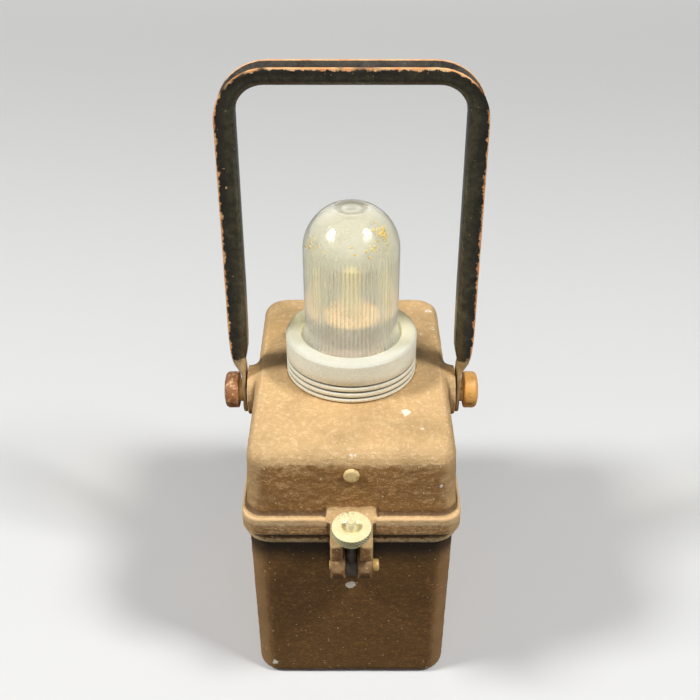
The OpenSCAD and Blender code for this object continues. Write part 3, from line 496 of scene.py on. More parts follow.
old_glass("dome_glass", (228, 226, 208), (246, 244, 230), 0.71, 0.13, 0.012)
old_glass("bulb_glass", (250, 236, 170), (255, 246, 200), 0.35, 0.25, 0.02)
print("glass is mixed")

# %% [markdown]
# ## Everything inside
# The bulb stands on a moulded holder, and the battery is a waxed board carton sealed with pitch. These
# show through the glass or with the lid open, so they get plain, honest finishes of two tones and a grain.

# %% Inner finishes
def plain_finish(name, dark, light, roughness, grain_mm, scale=200.0, grain=1500.0):
    tree, shader = finish(name, roughness)
    tree.links.new(two_tones(tree, dark, light, scale), shader["Base Color"])
    rough_surface(tree, shader, use(tree, "grain", Scale=grain, Lumps=0.4), grain_mm)


for name, *recipe in [
        ("rubber", (26, 26, 26), (50, 49, 47), 0.75, 0.05),
        ("felt", (96, 90, 78), (136, 128, 112), 0.95, 0.4, 400.0, 2400.0),
        ("battery_carton", (44, 54, 64), (68, 78, 88), 0.45, 0.08, 60.0, 900.0),
        ("sealing_pitch", (20, 18, 17), (42, 39, 36), 0.35, 0.4, 60.0, 160.0),
        ("bakelite", (120, 82, 50), (164, 120, 80), 0.35, 0.03),
        ("pale_disc", (236, 186, 140), (250, 212, 170), 0.5, 0.04),
        ("fibre", (186, 148, 104), (222, 190, 144), 0.8, 0.1, 300.0, 2000.0),
        ("fleck_paint", (246, 196, 66), (255, 238, 156), 0.5, 0.05, 500.0)]:
    plain_finish(name, *recipe)
print("finishes:", len(finishes))

# %% [markdown]
# ## Helpers for shaping
# Pieces are drawn, spun, bevelled, joined and smoothed with the tools that a hand would click. Those tools
# act on what is selected, so the selection comes first: whole pieces in object mode, and points, picked by
# their place, in edit mode.

# %% Select, change and join
def only(*pieces):
    """Leave these pieces selected and the first one active, as clicks on them would"""
    bpy.ops.object.select_all(action="DESELECT")
    for piece in pieces:
        piece.select_set(True)
    bpy.context.view_layer.objects.active = pieces[0]


def edit(piece):
    """Open a piece in edit mode with all of it selected"""
    only(piece)
    bpy.ops.object.mode_set(mode="EDIT")
    bpy.ops.mesh.select_all(action="SELECT")


def choose(piece, test):
    """In edit mode, select the points that pass a test of their number and their place in millimetres"""
    bpy.ops.mesh.select_mode(type="VERT")
    bpy.ops.mesh.select_all(action="DESELECT")
    shape = bmesh.from_edit_mesh(piece.data)
    for i, v in enumerate(shape.verts):
        v.select = bool(test(i, *[c / MM for c in v.co]))
    shape.select_flush(True)
    bmesh.update_edit_mesh(piece.data)


def join(*pieces):
    """Join pieces into the first one"""
    only(*pieces)
    bpy.ops.object.join()


def apply_modifier(piece, kind, **settings):
    """Add a modifier, set it and apply it"""
    only(piece)
    modifier = piece.modifiers.new(kind.lower(), kind)
    for name, value in settings.items():
        setattr(modifier, name, value)
    bpy.ops.object.modifier_apply(modifier=modifier.name)


print("pieces can be selected, changed and joined")

# %% [markdown]
# ## Marks of wear and of painted light
# The finishes wear, and take painted shade and painted highlights, by marks, which are numbers that a mesh
# carries at each of its points. The mark edge compares every point with a smoothed copy of the mesh: a point
# outside it is on an edge, and a point inside it lies in a hollow.

# %% Marks on a mesh
def rows(items, name, width=3, kind=float):
    """One property of all points or edges of a mesh, as rows of numbers"""
    values = np.empty(len(items) * width, dtype=kind)
    items.foreach_get(name, values)
    return values.reshape(-1, width)


def points(piece):
    """The places of a piece's points, in millimetres"""
    return rows(piece.data.vertices, "co") / MM


def write_mark(piece, name, values):
    """Store one number per point under a name that a finish can read"""
    layer = piece.data.attributes.get(name) or piece.data.attributes.new(name, "FLOAT", "POINT")
    layer.data.foreach_set("value", np.asarray(values, dtype=np.float32))


def mark_edges(piece, rounds, full_mm):
    """Write the mark edge: near 1 on sharp outer edges, near -1 in hollows, 0 where it is flat"""
    mesh = piece.data
    n = len(mesh.vertices)
    place, normal = rows(mesh.vertices, "co"), rows(mesh.vertices, "normal")
    a, b = rows(mesh.edges, "vertices", 2, np.int32).T
    count = np.maximum(np.bincount(a, minlength=n) + np.bincount(b, minlength=n), 1)[:, None]
    soft = place.copy()
    for _ in range(rounds):
        near = [np.bincount(a, soft[b, k], n) + np.bincount(b, soft[a, k], n) for k in range(3)]
        soft = 0.5 * soft + 0.5 * np.stack(near, 1) / count
    bulge = ((place - soft) * normal).sum(1) / (full_mm * MM)
    write_mark(piece, "edge", np.clip(bulge, -1, 1))


print("meshes can be marked")

# %% [markdown]
# ## The castings
# The case and the lid were poured in sand, so nothing on them is sharp: ears, bosses and neck run into the
# walls with soft fillets. Bevelling each joint by hand would be slow and would miss the blends, so the frame's
# own shape is copied, remeshed in fine even cells, smoothed like a casting, and thinned again. The hammered
# skin is pressed in by up to a third of a millimetre, so outlines are a little uneven too. The marks for worn
# edges and for painted shade in hollows are taken while the cells are still even and smooth.

# %% Castings
def triangles(piece):
    return sum(len(p.vertices) - 2 for p in piece.data.polygons)


def casting(name, node, blends=(), soften=(), cell=0.8, passes=5, most=190000):
    """A soft copy of a cast piece of the frame.
    Blends are cones (x1, r1, x2, r2, z) that run into it along X. Soften lists boxes (low corner, high
    corner, rounds) that are smoothed once more."""
    piece = bpy.data.objects.new(name, nodes[node].data.copy())
    bpy.context.scene.collection.objects.link(piece)
    piece.data.name = name
    edit(piece)
    bpy.ops.mesh.remove_doubles(threshold=2e-6)
    bpy.ops.object.mode_set(mode="OBJECT")
    for x1, r1, x2, r2, z in blends:
        bpy.ops.mesh.primitive_cone_add(vertices=96, radius1=r1 * MM, radius2=r2 * MM,
                                        depth=abs(x2 - x1) * MM, location=((x1 + x2) / 2 * MM, 0, z * MM),
                                        rotation=(0, math.radians(90 if x2 > x1 else -90), 0))
        join(piece, bpy.context.object)
    piece.data.remesh_voxel_size = cell * MM
    bpy.ops.object.voxel_remesh()
    apply_modifier(piece, "SMOOTH", factor=0.5, iterations=passes)
    for low, high, repeats in soften:
        edit(piece)
        choose(piece, lambda i, *place: all(a <= c <= b for a, c, b in zip(low, place, high)))
        bpy.ops.mesh.vertices_smooth(factor=0.5, repeat=repeats)
        bpy.ops.object.mode_set(mode="OBJECT")
    mark_edges(piece, 5, 0.13)
    skin = bpy.data.textures.new(name + "_skin", "CLOUDS")
    skin.noise_scale = 4 * MM
    skin.noise_depth = 2
    apply_modifier(piece, "DISPLACE", texture=skin, texture_coords="LOCAL", strength=0.35 * MM, mid_level=1.0)
    fine = triangles(piece)
    if fine > most:
        apply_modifier(piece, "DECIMATE", ratio=most / fine)
    only(piece)
    bpy.ops.object.shade_smooth()
    print(name, fine, "triangles, thinned to", triangles(piece))
    return piece


print("the frame's plain case has", triangles(nodes["case"]), "triangles")

# %% [markdown]
# ## Case and lid
# Under the case's rim the wall gets painted shade and dirt fills the joint with the lid; the case's rim gets a
# painted highlight, and the lid's flange and ledge are rubbed pale, the ledge with a painted highlight too.
# Every finished piece is then handed over: it gets its finish, rides on its body, and stands for the frame's
# plain piece.

# %% Dirt, painted shade and highlights, dabs and hand-over
def dirt_and_shade(piece, levels):
    """Write the height mark from pairs of height and level: above 0 the paint darkens, for dirt and painted
    shade, below 0 it is paler, for rubbing and painted highlights
    """
    place = points(piece)
    tone_by_height = np.interp(place[:, 2], [z for z, _ in levels], [d for _, d in levels])
    edge = rows(piece.data.attributes["edge"].data, "value", 1)[:, 0]
    proud = abs(place[:, 1]) > 80  # the ears, the fork and the knuckles stand out of the walls
    write_mark(piece, "joint", np.where(proud, np.maximum(0.35 * tone_by_height, 0), tone_by_height))
    write_mark(piece, "edge", np.where(proud, 0.45 * edge, edge))


def dab(piece, spots):
    """Write the mark chip: spots of (x, y, z, radius, strength), in millimetres, like dabs of a brush"""
    place = points(piece)
    chip = np.full(len(place), -1.0)
    for x, y, z, radius, strength in spots:
        away = np.linalg.norm(place - (x, y, z), axis=1) / radius
        chip = np.maximum(chip, strength * (1.4 - away))
    write_mark(piece, "chip", np.clip(chip, -1, 1.2))


def keep(piece, body, slot, *replaced):
    """Give a piece its finish, put it on its body, and let it stand for the frame's plain piece"""
    piece.data.materials.clear()
    piece.data.materials.append(finishes[slot])
    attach(piece, body)
    if replaced:
        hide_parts(*replaced)
    print(piece.name, "-", len(piece.data.polygons), "faces, on", body)


# %% Case
case = casting("case_casting", "case")
# Painted shade under the rim, which begins at 103; a painted highlight on the rim; dirt fills the joint above
# it
dirt_and_shade(case, [(85, 0), (91, 0.45), (96, 0.95), (102.5, 1), (103.4, 0), (104, -0.6), (106.2, -0.6), (106.8, 0),
             (107.6, 1)])
dab(case, [(-0.3, -75.3, 70.6, 3.4, 0.9), (-11.3, -75.3, 65.9, 2.6, 0.45), (-42.2, -73.5, 8.5, 3, 0.7),
           (3.9, -75, 45.5, 1.6, 0.6)])
keep(case, "case", "case_paint", "case")

# %% Lid
pivot_height = 142.8
lid = casting("lid_casting", "lid",
              blends=((43, 15.8, 56, 13.4, pivot_height), (-43, 15.8, -56, 13.4, pivot_height)),
              soften=(((-13, -86, 118.6), (13, -72, 128), 40),
                      ((44, -22, 138), (55.6, 22, 158.2), 25), ((-55.6, -22, 138), (-44, 22, 158.2), 25)))
# Dirt fills the joint at the flange's foot; its front is rubbed, and the ledge above is rubbed and has a
# painted highlight
dirt_and_shade(lid, [(109.4, 1), (110.1, 1), (110.8, 0), (111.6, -0.3), (116, -0.3), (117.2, -0.6), (119, -0.6),
            (119.8, 0)])
dab(lid, [(27.5, -41.5, 158.2, 3.4, 0.8), (0.3, -72.5, 155.6, 3.0, 0.8), (-43.5, -72.5, 155.6, 2.2, 0.8),
          (34.9, -55, 158.1, 1.6, 0.6), (45, 56.5, 159, 4, 0.5), (46.6, 36.6, 159, 3.4, 0.5),
          (38.8, 31.2, 158.8, 2.4, 0.5), (43.7, -73.9, 137.7, 2.0, 0.6)])
keep(lid, "lid", "lid_paint", "lid")

# %% [markdown]
# ## The glass dome
# The dome is a pressed glass jar upside down: a flange at its foot, a wall with flutes on the inside,
# a round crown, and a flat boss with a shallow dish on top. Its profile is drawn once and spun, with six
# columns of points to a flute.

# %% Draw and turn a profile
def tidy_mesh(piece, merge=True):
    """Merge what coincides and turn every face outwards"""
    edit(piece)
    if merge:
        bpy.ops.mesh.remove_doubles(threshold=1e-6)
    bpy.ops.mesh.normals_make_consistent(inside=False)
    bpy.ops.object.mode_set(mode="OBJECT")


def smooth(piece, degrees):
    """Shade a piece smooth, but for edges that are sharper than the angle"""
    only(piece)
    bpy.ops.object.shade_smooth_by_angle(angle=math.radians(degrees))


def drawn(name, profile):
    """Draw a profile of radius and height, in millimetres, corner by corner; it stays in edit mode"""
    bpy.ops.mesh.primitive_plane_add(size=0.01)
    piece = bpy.context.object
    piece.name = piece.data.name = name
    edit(piece)
    bpy.ops.mesh.merge(type="CENTER")
    bpy.ops.transform.translate(value=(profile[0][0] * MM, 0, profile[0][1] * MM))
    for before, after in zip(profile, profile[1:]):
        step = ((after[0] - before[0]) * MM, 0, (after[1] - before[1]) * MM)
        bpy.ops.mesh.extrude_region_move(TRANSFORM_OT_translate={"value": step})
    return piece


def turned(name, profile, steps=96):
    """Draw a profile and spin it once round Z"""
    piece = drawn(name, profile)
    bpy.ops.mesh.select_all(action="SELECT")
    bpy.ops.mesh.spin(steps=steps, angle=2 * math.pi, center=(0, 0, 0), axis=(0, 0, 1))
    bpy.ops.object.mode_set(mode="OBJECT")
    tidy_mesh(piece)
    return piece


def arc(radius, height, r, low, high, steps):
    """Points of a round profile about (radius, height), angles from level upwards"""
    angles = [math.radians(low + (high - low) * i / steps) for i in range(steps + 1)]
    return [(radius + r * math.cos(a), height + r * math.sin(a)) for a in angles]


print("profiles can be drawn and turned")

# %% Spin the dome
FLUTES, COLUMNS = 72, 6
foot_low, glass_high = span("glass_dome", "z")
foot_r = span("glass_dome", "x")[1]
foot_high = span("ring_washer", "z")[0]
wall_r, bore_r, boss_r = 24.4, 21.65, 9.5
flute_low, flute_depth = 183, 0.7
dome_middle = glass_high - math.sqrt(wall_r ** 2 - boss_r ** 2)
rim_angle = math.degrees(math.acos(boss_r / wall_r))

foot = [(bore_r + 0.15, foot_low), (foot_r - 0.5, foot_low), (foot_r, foot_low + 0.5),
        (foot_r, foot_high - 0.5), (foot_r - 0.5, foot_high), (26.1, foot_high), (26.0, foot_high + 2.4),
        (25.6, foot_high + 3.2), (24.9, foot_high + 4.4), (wall_r, foot_high + 7)]
wall = [(wall_r, z) for z in (197, 215, 224, 226)]
boss = [(boss_r - inwards, glass_high - down)
        for inwards, down in ((0.1, 0.15), (0.5, 0), (1, 0.05), (1.7, 0.7))]
dish = [(r, glass_high - down) for r, down in ((5.2, 0.9), (4.4, 0.6), (3.4, 0.6), (2.6, 0.9), (0, 0.9))]
outside = foot + wall + arc(0, dome_middle, wall_r, 0, rim_angle, 20) + boss + dish
inside = (arc(0, dome_middle - 2.2, bore_r - 0.15, 90, 0, 14)
          + [(bore_r, z) for z in (dome_middle - 2.8, 215, 197, flute_low)]
          + [(bore_r + 0.15, flute_low - 1), (bore_r + 0.15, foot_low)])
dome = turned("glass_dome_pressed", outside + inside, steps=FLUTES * COLUMNS)
print("dome:", len(dome.data.vertices), "points")

# %% [markdown]
# The flutes are made by pulling three of the six columns of each a little inwards on the inner wall. The bright
# and dark stripes that they make are painted on the outer wall as painted highlights and painted shade, lighter
# towards the foot, and so are the light and dark rings of the boss.

# %% Flutes and stripes of the dome
def on_flute(x, y):
    """Whether a point stands in the raised half of its flute"""
    return round(math.degrees(math.atan2(y, x)) / 360 * FLUTES * COLUMNS) % COLUMNS in (2, 3, 4)


def shine(x, y, z):
    """Painted highlights and painted shade: stripes up the outer wall that fade out at the foot and the crown
    and are lighter towards the foot, and rings on the boss
    """
    r, top = math.hypot(x, y), dome_middle + 4.5
    if r > wall_r - 0.5 and z < top:
        stripe = -0.26 if on_flute(x, y) else 0.6
        # The lower wall is painted lighter
        paler_low = np.interp(z, [foot_high + 10, foot_high + 30], [0.2, 0])
        fade = np.interp(z, [foot_high + 2, foot_high + 4, top - 1.5, top], [0, 1, 1, 0.2])
        return (stripe + paler_low) * fade
    if z > glass_high - 2.2:
        return np.interp(r, [0, 2.4, 3.2, 4.4, 5.2, 7.6, 8.2, 9.4, 9.6, 11.5],
                         [-0.6, -0.5, 0.6, 0.5, -0.8, -0.8, 1, 1, -0.6, 0])
    return 0.0


edit(dome)
choose(dome, lambda i, x, y, z: abs(math.hypot(x, y) - bore_r) < 0.02 and flute_low - 0.5 < z < 227
       and on_flute(x, y))
pulled = 1 - flute_depth / bore_r
bpy.ops.transform.resize(value=(pulled, pulled, 1), center_override=(0, 0, 0))
bpy.ops.object.mode_set(mode="OBJECT")
smooth(dome, 50)
# The stripes of the flutes and the rings of the boss are painted highlights and painted shade
write_mark(dome, "edge", [shine(*p) for p in points(dome)])
keep(dome, "lid", "dome_glass", "glass_dome")

# %% [markdown]
# Dried yellow flecks stick to the shoulder of the dome, most of them in one cluster on the right. Each is
# a tiny flattened blob. They are a piece of their own, because clear glass can't be painted by a mask.

# %% Yellow flecks
random.seed(7)
clusters = [(51, 35, 60, 5, 6), (42, 42, 12, 6, 5), (27, 20, 16, 8, 6), (-60, 26, 14, 6, 7), (1, 27, 3, 3, 3),
            (-34, 18, 5, 8, 4)]
bpy.ops.mesh.primitive_ico_sphere_add(subdivisions=1, radius=1)
blob = bpy.context.object
made = []
for side, height, count, spread, rise in clusters:
    for _ in range(count):
        across, up = random.gauss(0, 1), random.gauss(0, 1)
        turn = math.radians(side + across * spread)
        lift = math.radians(height + up * rise)
        out = Vector((math.sin(turn) * math.cos(lift), -math.cos(turn) * math.cos(lift), math.sin(lift)))
        size = random.choice((0.3, 0.4, 0.55, 0.75)) * random.uniform(0.8, 1.2)
        fleck = bpy.data.objects.new("fleck", blob.data.copy())
        bpy.context.scene.collection.objects.link(fleck)
        fleck.location = Vector((0, 0, dome_middle * MM)) + out * wall_r * MM
        fleck.rotation_euler = out.to_track_quat("Z", "Y").to_euler()
        fleck.scale = (size * MM, size * random.uniform(0.7, 1.0) * MM, 0.28 * MM)
        made.append(fleck)
bpy.data.objects.remove(blob)
join(*made)
flecks = made[0]
flecks.name = flecks.data.name = "glass_flecks"
bpy.ops.object.transform_apply(location=True, rotation=True, scale=True)
bpy.ops.object.shade_smooth()
keep(flecks, "lid", "fleck_paint")

# %% [markdown]
# ## The screwed ring
# A pale ring screws down over the neck of the lid and clamps the foot of the glass. Its upper band is
# plain, and three rounded grooves below give the fingers a grip.

# %% Screwed ring
ring_low, ring_high = span("glass_ring", "z")
ring_r = span("glass_ring", "x")[1]
lip = span("ring_washer", "z")[1]
top_groove = ring_high - 0.57 * (ring_high - ring_low)
groove_step = (top_groove - ring_low) / 2.8


def groove(z, half=0.6, deep=0.8):
    """A rounded groove in the outer wall, from below to above"""
    return [(ring_r - inwards, z + up) for inwards, up in (
        (0, -half - 0.2), (0.15, -half), (deep * 0.8, -half * 0.45), (deep, 0),
        (deep * 0.8, half * 0.45), (0.15, half), (0, half + 0.2))]


neck_r, lip_r, soft = 31.1, 26.3, 1.6
foot = [(neck_r, ring_low), (ring_r - 0.8, ring_low), (ring_r - 0.25, ring_low + 0.25),
        (ring_r, ring_low + 0.8)]
grooves = [p for i in (2, 1, 0) for p in groove(top_groove - i * groove_step)]
band = [(ring_r, top_groove + 5)] + arc(ring_r - soft, ring_high - soft, soft, 0, 90, 6)
bore = [(lip_r + 0.7, ring_high), (lip_r + 0.2, ring_high - 0.2), (lip_r, ring_high - 0.7), (lip_r, lip),
        (neck_r, lip), (neck_r, ring_low)]
ring = turned("ring_turned", foot + grooves + band + bore, steps=192)
smooth(ring, 50)
# The grooves are marked for painted shade
write_mark(ring, "edge", [-1.0 if ring_r - 0.9 < math.hypot(x, y) < ring_r - 0.5
                          and ring_low + 1 < z < top_groove + 1 else 0.0 for x, y, z in points(ring)])
keep(ring, "ring", "ring_metal", "glass_ring")

# %% [markdown]
# ## Small turned fittings
# Discs, washers, pins and bolts come off a lathe, so they are made by the same steps: the profile is spun,
# its sharp edges are rounded, and the piece is put in its place, on both sides where the lamp has a pair.

# %% Turned fittings
def ease(piece, width, segments=2):
    """Round every sharp edge by so many millimetres, then shade it smooth"""
    apply_modifier(piece, "BEVEL", width=width * MM, segments=segments, limit_method="ANGLE",
                   angle_limit=math.radians(28))
    smooth(piece, 40)


def settle(piece, location=(0, 0, 0), turn=(0, 0, 0)):
    """Put a piece where it belongs, in millimetres and degrees, and fix that in its mesh"""
    only(piece)
    piece.location = [v * MM for v in location]
    piece.rotation_euler = [math.radians(v) for v in turn]
    bpy.ops.object.transform_apply(location=True, rotation=True, scale=True)


def fitting(name, profile, steps, width, body, slot, node, place=(0, 0, 0), turn=(0, 0, 0), segments=2,
            both_sides=False):
    """Turn a small piece, round its edges by a width, and put it in its place or on both sides of the lamp"""
    piece = turned(name, profile, steps)
    ease(piece, width, segments)
    settle(piece, place, turn)
    if both_sides:
        apply_modifier(piece, "MIRROR", use_axis=(True, False, False), use_mirror_merge=False)
        tidy_mesh(piece, merge=False)
    keep(piece, body, slot, node)


print("fittings can be turned")

# %% [markdown]
# ## The bulb and its holder
# Under the glass, a moulded holder carries a pale disc and a small screw-in bulb with pearl glass.

# %% Bulb and its disc
bulb_low, bulb_high = span("bulb_glass", "z")
bulb = turned("bulb_blown", [(0, bulb_low), (4.4, bulb_low), (4.4, bulb_low + 1.8), (5.0, bulb_low + 4.8)]
              + arc(0, bulb_high - 5.6, 5.6, -25, 90, 12), steps=48)
smooth(bulb, 50)
keep(bulb, "lid", "bulb_glass", "bulb_glass")

low, high = span("lamp_disc", "z")
fitting("lamp_disc_moulded", [(5.1, low), (15, low), (15, high), (5.1, high), (5.1, low)], 96, 0.4,
        "lid", "pale_disc", "lamp_disc", segments=3)

# %% [markdown]
# ## Latch fittings
# The knurled nut is cut with two crossing sets of fine slanting grooves, so its rim shows small diamonds.
# Its rim is a band of many points, and every second one is pushed in. A washer lies under it, and the
# swing bolt's thread stands a little out of it, with the mark of the lathe centre in its end. All three are
# drawn upright over the latch pin and then lean to the front with the bolt.

# %% Knurled nut
latch_pin_place = (0, -87.5, 97.9)
lean = 6.5
TEETH, ROWS = 36, 4
nut_low, nut_rim, nut_high = 22.6, 24.9, 29.1
hole_r, tooth_r, dent_r = 2.55, 9.8, 9.3
rim_rows = [nut_rim + 0.35 + (nut_high - nut_rim - 0.7) * i / ROWS for i in range(ROWS + 1)]
below = [(hole_r, nut_low), (6.8, nut_low), (7.0, nut_low + 0.2), (7.0, nut_rim - 0.3), (7.3, nut_rim),
         (9.2, nut_rim), (9.6, nut_rim + 0.15)]
above = [(9.55, nut_high - 0.12), (9.2, nut_high), (5.6, nut_high), (5.0, nut_high - 0.25),
         (3.2, nut_high - 1.4), (hole_r, nut_high - 1.4), (hole_r, nut_low)]
nut = turned("thumb_nut_knurled", below + [(tooth_r, z) for z in rim_rows] + above, steps=TEETH * 2)


def between_teeth(i, x, y, z):
    """Every second point of the rim, row by row, as on a chessboard"""
    row = [k for k, height in enumerate(rim_rows) if abs(z - height) < 0.01]
    column = round(math.degrees(math.atan2(y, x)) / 360 * TEETH * 2)
    return row and math.hypot(x, y) > tooth_r - 0.1 and (column + row[0]) % 2 == 0


edit(nut)
choose(nut, between_teeth)
pushed = dent_r / tooth_r
bpy.ops.transform.resize(value=(pushed, pushed, 1), center_override=(0, 0, 0))
bpy.ops.object.mode_set(mode="OBJECT")
write_mark(nut, "groove", [abs(math.hypot(x, y) - dent_r) < 0.02 and z > nut_rim + 0.3
                           for x, y, z in points(nut)])
smooth(nut, 30)
settle(nut, latch_pin_place, (lean, 0, 0))
keep(nut, "nut", "zinc", "thumb_nut")

# %% Washer and swing bolt
fitting("nut_washer", [(2.7, 21.3), (7.4, 21.3), (7.4, 22.6), (2.7, 22.6), (2.7, 21.3)], 64, 0.3,
        "nut_slide", "zinc", "thumb_nut_washer", latch_pin_place, (lean, 0, 0), segments=3)

bolt = turned("swing_bolt_threaded", [(2.3, -2.5), (5.2, -2.5), (5.2, 2.5), (2.3, 2.5), (2.3, -2.5)], 48)
settle(bolt, turn=(0, 90, 0))
rod = turned("rod", [(0, 4), (2.5, 4), (2.5, 9), (2.15, 9.5), (2.15, 32.6), (1.8, 33.1), (0.9, 33.2),
                     (0.2, 32.4), (0, 32.4)], 32)
thread = drawn("thread", [(2.1, 9.5), (2.5, 9.9), (2.1, 10.3)])
bpy.ops.object.mode_set(mode="OBJECT")
apply_modifier(thread, "SCREW", screw_offset=0.8 * MM, iterations=28, steps=24, render_steps=24,
               use_merge_vertices=True, merge_threshold=1e-6)
join(bolt, rod, thread)
smooth(bolt, 35)
settle(bolt, latch_pin_place, (lean, 0, 0))
# Above the nut the bolt is pale; below, its shank is painted dark as painted shade
write_mark(bolt, "pale", points(bolt)[:, 2] > latch_pin_place[2] + 26)
keep(bolt, "latch_bolt", "bolt_steel", "swing_bolt")

# %% [markdown]
# ## Pins and rivet
# Turned pins with slightly domed heads: the latch pin is pale brass, the hinge pin dull steel, and a
# broad flat rivet sits in the front wall of the lid.

# %% Pins and rivet
fitting("latch_pin_turned", [(0, -11.0), (1.9, -11.0), (2.25, -10.7), (2.25, 10.6), (3.1, 10.6), (3.1, 13.0),
                             (2.8, 13.5), (1.8, 13.8), (0, 13.8)], 40, 0.15,
        "case", "brass", "latch_pin", latch_pin_place, (0, 90, 0))
fitting("hinge_pin_turned", [(0, -27.1), (2.1, -27.1), (2.5, -26.7), (2.5, 26.7), (2.1, 27.1), (0, 27.1)],
        40, 0.15, "case", "dark_steel", "lid_hinge_pin", (0, 86.1, 105.5), (0, 90, 0))
fitting("rivet_set", [(0, -6.4), (2, -6.4), (2, -6.0), (3, -6.0), (3, -4.6), (2, -4.6), (2, 0.2), (3.9, 0.2),
                      (3.9, 1.3), (3.6, 1.75), (3.1, 2.05), (2.6, 2.1), (0, 2.0)], 48, 0.12,
        "lid", "rivet_brass", "front_rivet", (0, -73.85, 144.8), (90, 0, 0))

# %% [markdown]
# ## Handle pivots
# The handle turns on two bolts with big round heads. Between head and handle sits a brass collar, and a
# washer keeps the handle off the lid's boss. The left head is rusty brown, the right one ochre.

# %% Handle pivots
bolt_end, head_out = span("pivot_bolt_right", "x")
head_in = 61.0
head = [(0, head_out), (6.3, head_out), (8.4, head_out - 0.5), (9.4, head_out - 1.2), (9.9, head_out - 2.3),
        (9.9, head_in + 0.5), (9.4, head_in), (4, head_in), (4, bolt_end), (0, bolt_end)]
for side, name, slot in ((1, "right", "ochre_steel"), (-1, "left", "rusty_steel")):
    fitting("pivot_bolt_" + name + "_turned", head, 64, 0.35, "lid", slot, "pivot_bolt_" + name,
            (0, 0, pivot_height), (0, 90 * side, 0))
for name, r, inner, outer, slot in (("collars", 6.4, 58.6, head_in, "brass"),
                                    ("washers", 8, 56, 56.8, "dark_steel")):
    fitting("pivot_" + name + "_turned", [(4.1, inner), (r, inner), (r, outer), (4.1, outer), (4.1, inner)],
            64, 0.25, "lid", slot, "pivot_" + name, (0, 0, pivot_height), (0, 90, 0), both_sides=True)

# %% [markdown]
# ## The handle
# The handle is a channel pressed from sheet: a web with a flange along each side, open to the outside,
# bent round two corners. Its flanges run out towards the pivots, where only a flat tab is left. A channel
# of one section swept along a curve couldn't do that, so a section is set at each station, with its own
# width and flange height, and each pair of sections is bridged. One half is made, then mirrored.

# %% One section of the handle
SHEET = 1.8


def section_points(web, free, half):
    """The corners of one section: from the web's inner face (x, z) out to the free edge (x, z)"""
    web, free = Vector((web[0], 0, web[1])), Vector((free[0], 0, free[1]))
    out = (free - web).normalized()
    tall = max((free - web).length, SHEET)
    wall = max(half - SHEET, 0.25)
    bend = min(4.0, tall - 0.6, half * 0.6) if tall > SHEET + 0.3 else 0.5
    bend = min(bend, half * 0.6)
    wide, small = 0.55, 0.16  # the free edges are rounded by two facets
    outer = [(tall, half - wide), (tall - small, half - small), (tall - wide, half)]
    corner = [(bend * (1 - math.sin(math.radians(a))), half - bend * (1 - math.cos(math.radians(a))))
              for a in (0, 22.5, 45, 67.5, 90)]
    inner = [(tall, wall + wide), (tall - small, wall + small), (max(tall - wide, SHEET), wall)]
    root = [(SHEET + 0.5 if tall > SHEET + 1 else SHEET, wall), (SHEET, wall - 0.5 if wall > 1 else wall * 0.5)]
    right = root[::-1] + inner[::-1] + outer + corner
    left = [(s, -y) for s, y in right[::-1]]
    return [(web + out * s + Vector((0, y, 0))) * MM for s, y in right + left]


print("a section has", len(section_points((54, 200), (64, 200), 7)), "corners")

# %% [markdown]
# The stations go up one leg from the round end of the tab, round the corner and to the middle of the
# grip. Web and free edge are each read from a list of heights and distances from the lamp's middle.

# %% Stations of the handle
leg_web = [(142.8, 56.8), (161.8, 56.8), (171.8, 54.6), (204.8, 54.0), (299.1, 53.6)]
leg_free = [(148.0, 58.6), (156.3, 58.6), (158.5, 59.3), (161.0, 60.5), (163.8, 62.1), (166.8, 62.9),
            (170.8, 63.5), (177.8, 63.9), (187.8, 64.0), (207.8, 63.8), (296.7, 63.3)]


def between(path, z):
    """Read a path of (height, x) points at a height"""
    return float(np.interp(z, [p[0] for p in path], [p[1] for p in path]))


stations = []
for a in (-80, -68, -54, -40, -26, -12, 0):
    z = 137.8 + 8 * math.sin(math.radians(a))
    stations.append(((56.8, z), (58.6, z), 8 * math.cos(math.radians(a))))
for z in (142.8, 148.8, 156.3, 158.5, 161.0, 163.8, 166.8, 170.8, 177.8, 187.8, 207.8, 250.0, 297.0):
    half = 8 - max(0, min(z, 156.3) - 148.8) / 7.5
    stations.append(((between(leg_web, z), z), (between(leg_free, z), z), half))
web_bend, free_bend = arc(39.6, 299.1, 14, 0, 90, 10), arc(38.3, 296.7, 25, 0, 90, 10)
stations += [(web, free, 7) for web, free in zip(web_bend, free_bend)]
stations.append(((0, 313.1), (0, 321.7), 7))
print("handle:", len(stations), "stations")

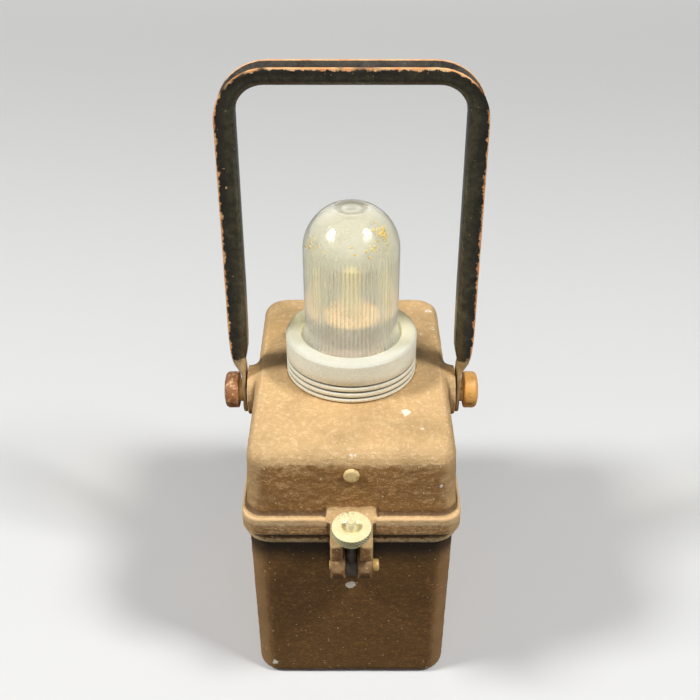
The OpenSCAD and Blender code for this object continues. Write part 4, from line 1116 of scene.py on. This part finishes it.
# %% Bridge the handle
corners = len(section_points(*stations[-1]))
bpy.ops.mesh.primitive_circle_add(vertices=corners, radius=0.01)
handle = bpy.context.object
handle.name = handle.data.name = "handle_pressed"
bpy.ops.object.mode_set(mode="EDIT")
for _ in stations[1:]:
    bpy.ops.mesh.primitive_circle_add(vertices=corners, radius=0.01)
shape = bmesh.from_edit_mesh(handle.data)
for v, point in zip(shape.verts, [p for station in stations for p in section_points(*station)]):
    v.co = point
bmesh.update_edit_mesh(handle.data)
for k in range(len(stations) - 1):
    choose(handle, lambda i, *place: k * corners <= i < (k + 2) * corners)
    bpy.ops.mesh.bridge_edge_loops()
choose(handle, lambda i, *place: i < corners)
bpy.ops.mesh.edge_face_add()
bpy.ops.object.mode_set(mode="OBJECT")
print("half a handle:", len(handle.data.polygons), "faces")

# %% [markdown]
# Its wear and painted sheen go by corner of the section, counted from the middle of the open side, and by
# station: the free edges chip, dust lies inside, the outer bends get dust and a painted sheen, and the legs are
# rubbed bare near the pivots.

# %% Marks and mirror image of the handle
LEG_STARTS = 10
free_edge = {3: 0.9, 4: 1.0, 5: 1.0, 6: 0.9, 7: 0.62}
marks = {"rim": [], "inside": [], "bare": [], "bend": []}
for i, z in enumerate(points(handle)[:, 2]):
    station, corner = divmod(i, corners)
    corner = min(corner, corners - 1 - corner)
    on_leg = station >= LEG_STARTS
    marks["rim"].append(free_edge.get(corner, -0.6) if on_leg else -0.6)
    marks["inside"].append(corner <= 3 and station > LEG_STARTS)
    marks["bare"].append(min(1.0, max(-0.6, (176 - z) / 14)))
    marks["bend"].append(corner >= 8 and on_leg)
for name, values in marks.items():
    write_mark(handle, name, values)
apply_modifier(handle, "MIRROR", use_axis=(True, False, False), merge_threshold=1e-5)
tidy_mesh(handle)
smooth(handle, 35)
keep(handle, "handle", "handle_paint", "handle")

# %% [markdown]
# ## Pieces of the frame that stay
# What is hidden or plain keeps its shape from the frame and only gets its finish.

# %% Finish the rest of the frame
wanted = {s["node"]: s["material_slot"] for s in frame["record"]["subparts"]}
for name, node in nodes.items():
    if name in wanted and not node.hide_render:
        if not node.material_slots:
            node.data.materials.append(finishes[wanted[name]])
        for place in node.material_slots:
            place.material = finishes[wanted[name]]
print("finished the frame's own pieces")
